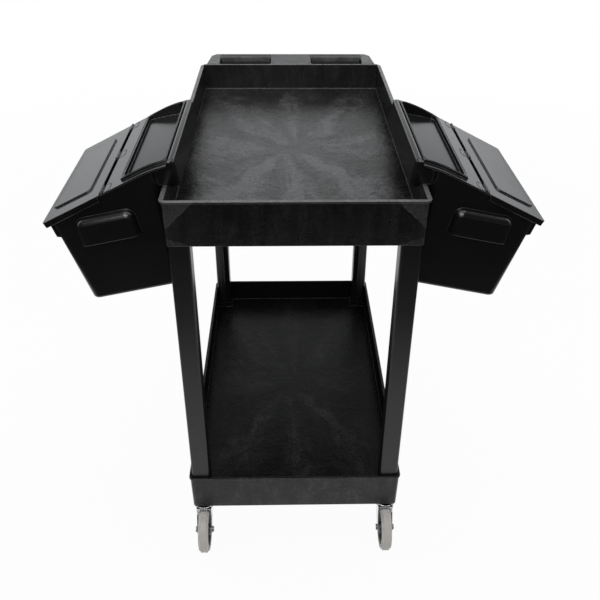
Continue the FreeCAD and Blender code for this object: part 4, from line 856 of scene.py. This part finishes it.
class CART_OT_stage(LooksOperator, bpy.types.Operator):
    """Sets the pale floor, the white room, the lamps and the photograph's camera"""
    bl_idname = "cart.stage"
    bl_label = "Stage"

    def execute(self, context):
        stage = self.looks.stage
        self.lay_floor(stage)
        self.light_room(stage)
        self.hang_lamps(stage)
        self.set_camera(stage)
        bpy.context.scene.view_settings.view_transform = "Standard"
        return {"FINISHED"}

    @staticmethod
    def rays(graph):
        """One for rays straight from the camera, for those by way of gloss or glass, and for gloss seen in gloss."""
        path = graph.add("LightPath").outputs
        shiny = graph.highest(path["Is Glossy Ray"], path["Is Transmission Ray"])
        return path["Is Camera Ray"], shiny, graph.math("GREATER_THAN", path["Glossy Depth"], 1.5)

    def lay_floor(self, stage):
        """Pale floor, white to the camera, most so far off; round the cart its colour is a painted pool of light,
        and past it gloss and bounced light see it dark.
        """
        reach = np.linspace(-stage.floor_half, stage.floor_half, 9)
        x, y = np.meshgrid(reach, reach, indexing="ij")
        points = np.stack([x, y, np.full_like(x, -stage.floor_drop)], axis=-1)
        floor = bpy.data.objects.new("floor", grid_mesh("floor", points, False, False))
        bpy.context.scene.collection.objects.link(floor)
        material, graph, shader, place, _ = new_material("pale_floor")
        straight, shiny, _ = self.rays(graph)
        away = graph.vector("LENGTH", place)
        # Painted pool of light: the floor's colour is pale within its reach round the cart and dark past it.
        lit = graph.step(away, stage.floor_reach + 0.1, stage.floor_reach - 0.1)
        unlit = tuple(value * stage.floor_unlit for value in stage.floor)
        pale = graph.blend(graph.highest(straight, lit), unlit, stage.floor)
        graph.feed(shader.inputs["Base Color"], pale)
        shader.inputs["Roughness"].default_value = 0.9
        shader.inputs["Specular IOR Level"].default_value = 0.0
        white = graph.add("Emission", {"Color": (1.0, 1.0, 1.0, 1.0), "Strength": 1.0}).outputs["Emission"]
        shown = graph.highest(straight, graph.times(shiny, lit))
        factor = graph.times(shown, graph.step(away, 1.0, 4.0, stage.floor_white, 1.0))
        mixed = graph.add("MixShader", {0: factor, 1: shader.outputs["BSDF"], 2: white}).outputs["Shader"]
        graph.feed(material.node_tree.nodes["Material Output"].inputs["Surface"], mixed)
        floor.data.materials.append(material)

    def light_room(self, stage):
        """White room: plain white to the camera and even light to matt faces.

        Gloss sees a white wall beyond the cart, higher in the middle, below a darker ceiling, and a dark room
        behind the camera; gloss seen in other gloss gets less of it.
        """
        world = bpy.data.worlds.new("white_room")
        world.use_nodes = True
        world.node_tree.nodes.clear()
        graph = Graph(world.node_tree)
        straight, shiny, again = self.rays(graph)
        across, depth, height = graph.split(graph.add("TexCoord").outputs["Generated"])
        aside = graph.step(graph.math("ABSOLUTE", across), 0.04, 0.12)
        beyond = graph.between(aside, graph.step(height, 0.38, 0.62, 1.0, stage.ceiling),
                               graph.step(height, 0.24, 0.38, 1.0, stage.ceiling))
        behind = graph.times(graph.step(depth, 0.1, -0.45), graph.step(height, 0.9, 0.55))
        mirrored = graph.times(beyond, graph.line(behind, stage.near_side - 1.0, 1.0),
                               graph.line(again, stage.twice_seen - 1.0, 1.0))
        strength = graph.highest(straight, graph.between(shiny, stage.sky, mirrored))
        tint = graph.blend(straight, stage.room_tint, (1.0, 1.0, 1.0))
        room = graph.add("Background", {"Color": tint, "Strength": strength})
        graph.add("OutputWorld", {"Surface": room.outputs["Background"]})
        bpy.context.scene.world = world

    @staticmethod
    def hang_lamps(stage):
        """Area lamps, each turned to its target; the edge lamp shows only in gloss."""
        lamps = (
            ("top_lamp", stage.top_lamp, (2.4, 2.0), (0.0, 0.1, 2.8), (0.0, 0.1, 0.8)),
            ("left_lamp", stage.side_lamp, (0.8, 1.8), (-2.4, -0.2, 2.2), (0.0, 0.0, 0.7)),
            ("right_lamp", stage.side_lamp, (0.8, 1.8), (2.4, -0.2, 2.2), (0.0, 0.0, 0.7)),
            ("front_lamp", stage.front_lamp, (2.0, 1.2), (-0.6, -3.2, 2.2), (0.0, 0.0, 0.6)),
            ("edge_lamp", stage.edge_lamp, (1.8, 1.3), (-0.5, -2.0, 2.75), (0.0, -0.2, 0.7)),
        )
        for name, power, extent, place, target in lamps:
            data = bpy.data.lights.new(name, "AREA")
            data.shape = "RECTANGLE"
            data.size, data.size_y = extent
            data.energy = power
            lamp = bpy.data.objects.new(name, data)
            way = np.array(target) - np.array(place)
            back = -way / np.linalg.norm(way)
            right = np.cross((0.0, 1.0, 0.0), back) if abs(back[2]) > 0.95 else np.cross((0.0, 0.0, 1.0), back)
            right /= np.linalg.norm(right)
            turn = np.eye(4)
            turn[:3, :3] = np.stack([right, np.cross(back, right), back], axis=1)
            turn[:3, 3] = place
            lamp.matrix_world = Matrix(turn.tolist())
            lamp.visible_diffuse = name != "edge_lamp"
            bpy.context.scene.collection.objects.link(lamp)

    @staticmethod
    def set_camera(stage):
        """Camera from its yaw, pitch and roll: the view looks along the yawed way, tilted down."""
        yaw, pitch, roll = stage.camera_yaw, stage.camera_pitch, stage.camera_roll
        ahead = np.array([math.sin(yaw) * math.cos(pitch), math.cos(yaw) * math.cos(pitch), -math.sin(pitch)])
        right = np.array([math.cos(yaw), -math.sin(yaw), 0.0])
        down = np.cross(ahead, right)
        across = math.cos(roll) * right + math.sin(roll) * down
        below = math.cos(roll) * down - math.sin(roll) * right
        turn = np.eye(4)
        turn[:3, :3] = np.stack([across, -below, -ahead], axis=1)
        turn[:3, 3] = stage.camera_place
        data = bpy.data.cameras.new("photo_camera")
        data.sensor_fit = "HORIZONTAL"
        data.sensor_width = 36.0
        data.lens = stage.lens_pixels / stage.picture * data.sensor_width
        data.clip_end = 200.0
        camera = bpy.data.objects.new("photo_camera", data)
        camera.matrix_world = Matrix(turn.tolist())
        bpy.context.scene.collection.objects.link(camera)
        bpy.context.scene.camera = camera


class CART_PT_looks(bpy.types.Panel):
    """Settings and steps of the cart's looks"""
    bl_label = "Shelf cart"
    bl_idname = "CART_PT_looks"
    bl_space_type = "VIEW_3D"
    bl_region_type = "UI"
    bl_category = "Shelf cart"

    def draw(self, context):
        looks = context.scene.shelf_cart
        for group in (looks.colours, looks.sizes, looks.stage):
            box = self.layout.box()
            for name in group.__annotations__:
                box.prop(group, name)
        for operator in OPERATORS:
            self.layout.operator(operator.bl_idname)


OPERATORS = (CART_OT_shared_effects, CART_OT_tubs, CART_OT_legs, CART_OT_casters, CART_OT_bins,
             CART_OT_tray_beads, CART_OT_hinge_tabs, CART_OT_handle_plate, CART_OT_stage)
CLASSES = (CartColours, CartSizes, StageSettings, CartLooks) + OPERATORS + (CART_PT_looks,)


def register():
    for item in CLASSES:
        bpy.utils.register_class(item)
    bpy.types.Scene.shelf_cart = PointerProperty(type=CartLooks)


def unregister():
    del bpy.types.Scene.shelf_cart
    for item in reversed(CLASSES):
        bpy.utils.unregister_class(item)


def main():
    register()
    bpy.ops.cart.shared_effects()
    bpy.ops.cart.tubs()
    bpy.ops.cart.legs()
    bpy.ops.cart.casters()
    bpy.ops.cart.bins()
    bpy.ops.cart.tray_beads()
    bpy.ops.cart.hinge_tabs()
    bpy.ops.cart.handle_plate()
    bpy.ops.cart.stage()


if __name__ == "__main__":
    main()
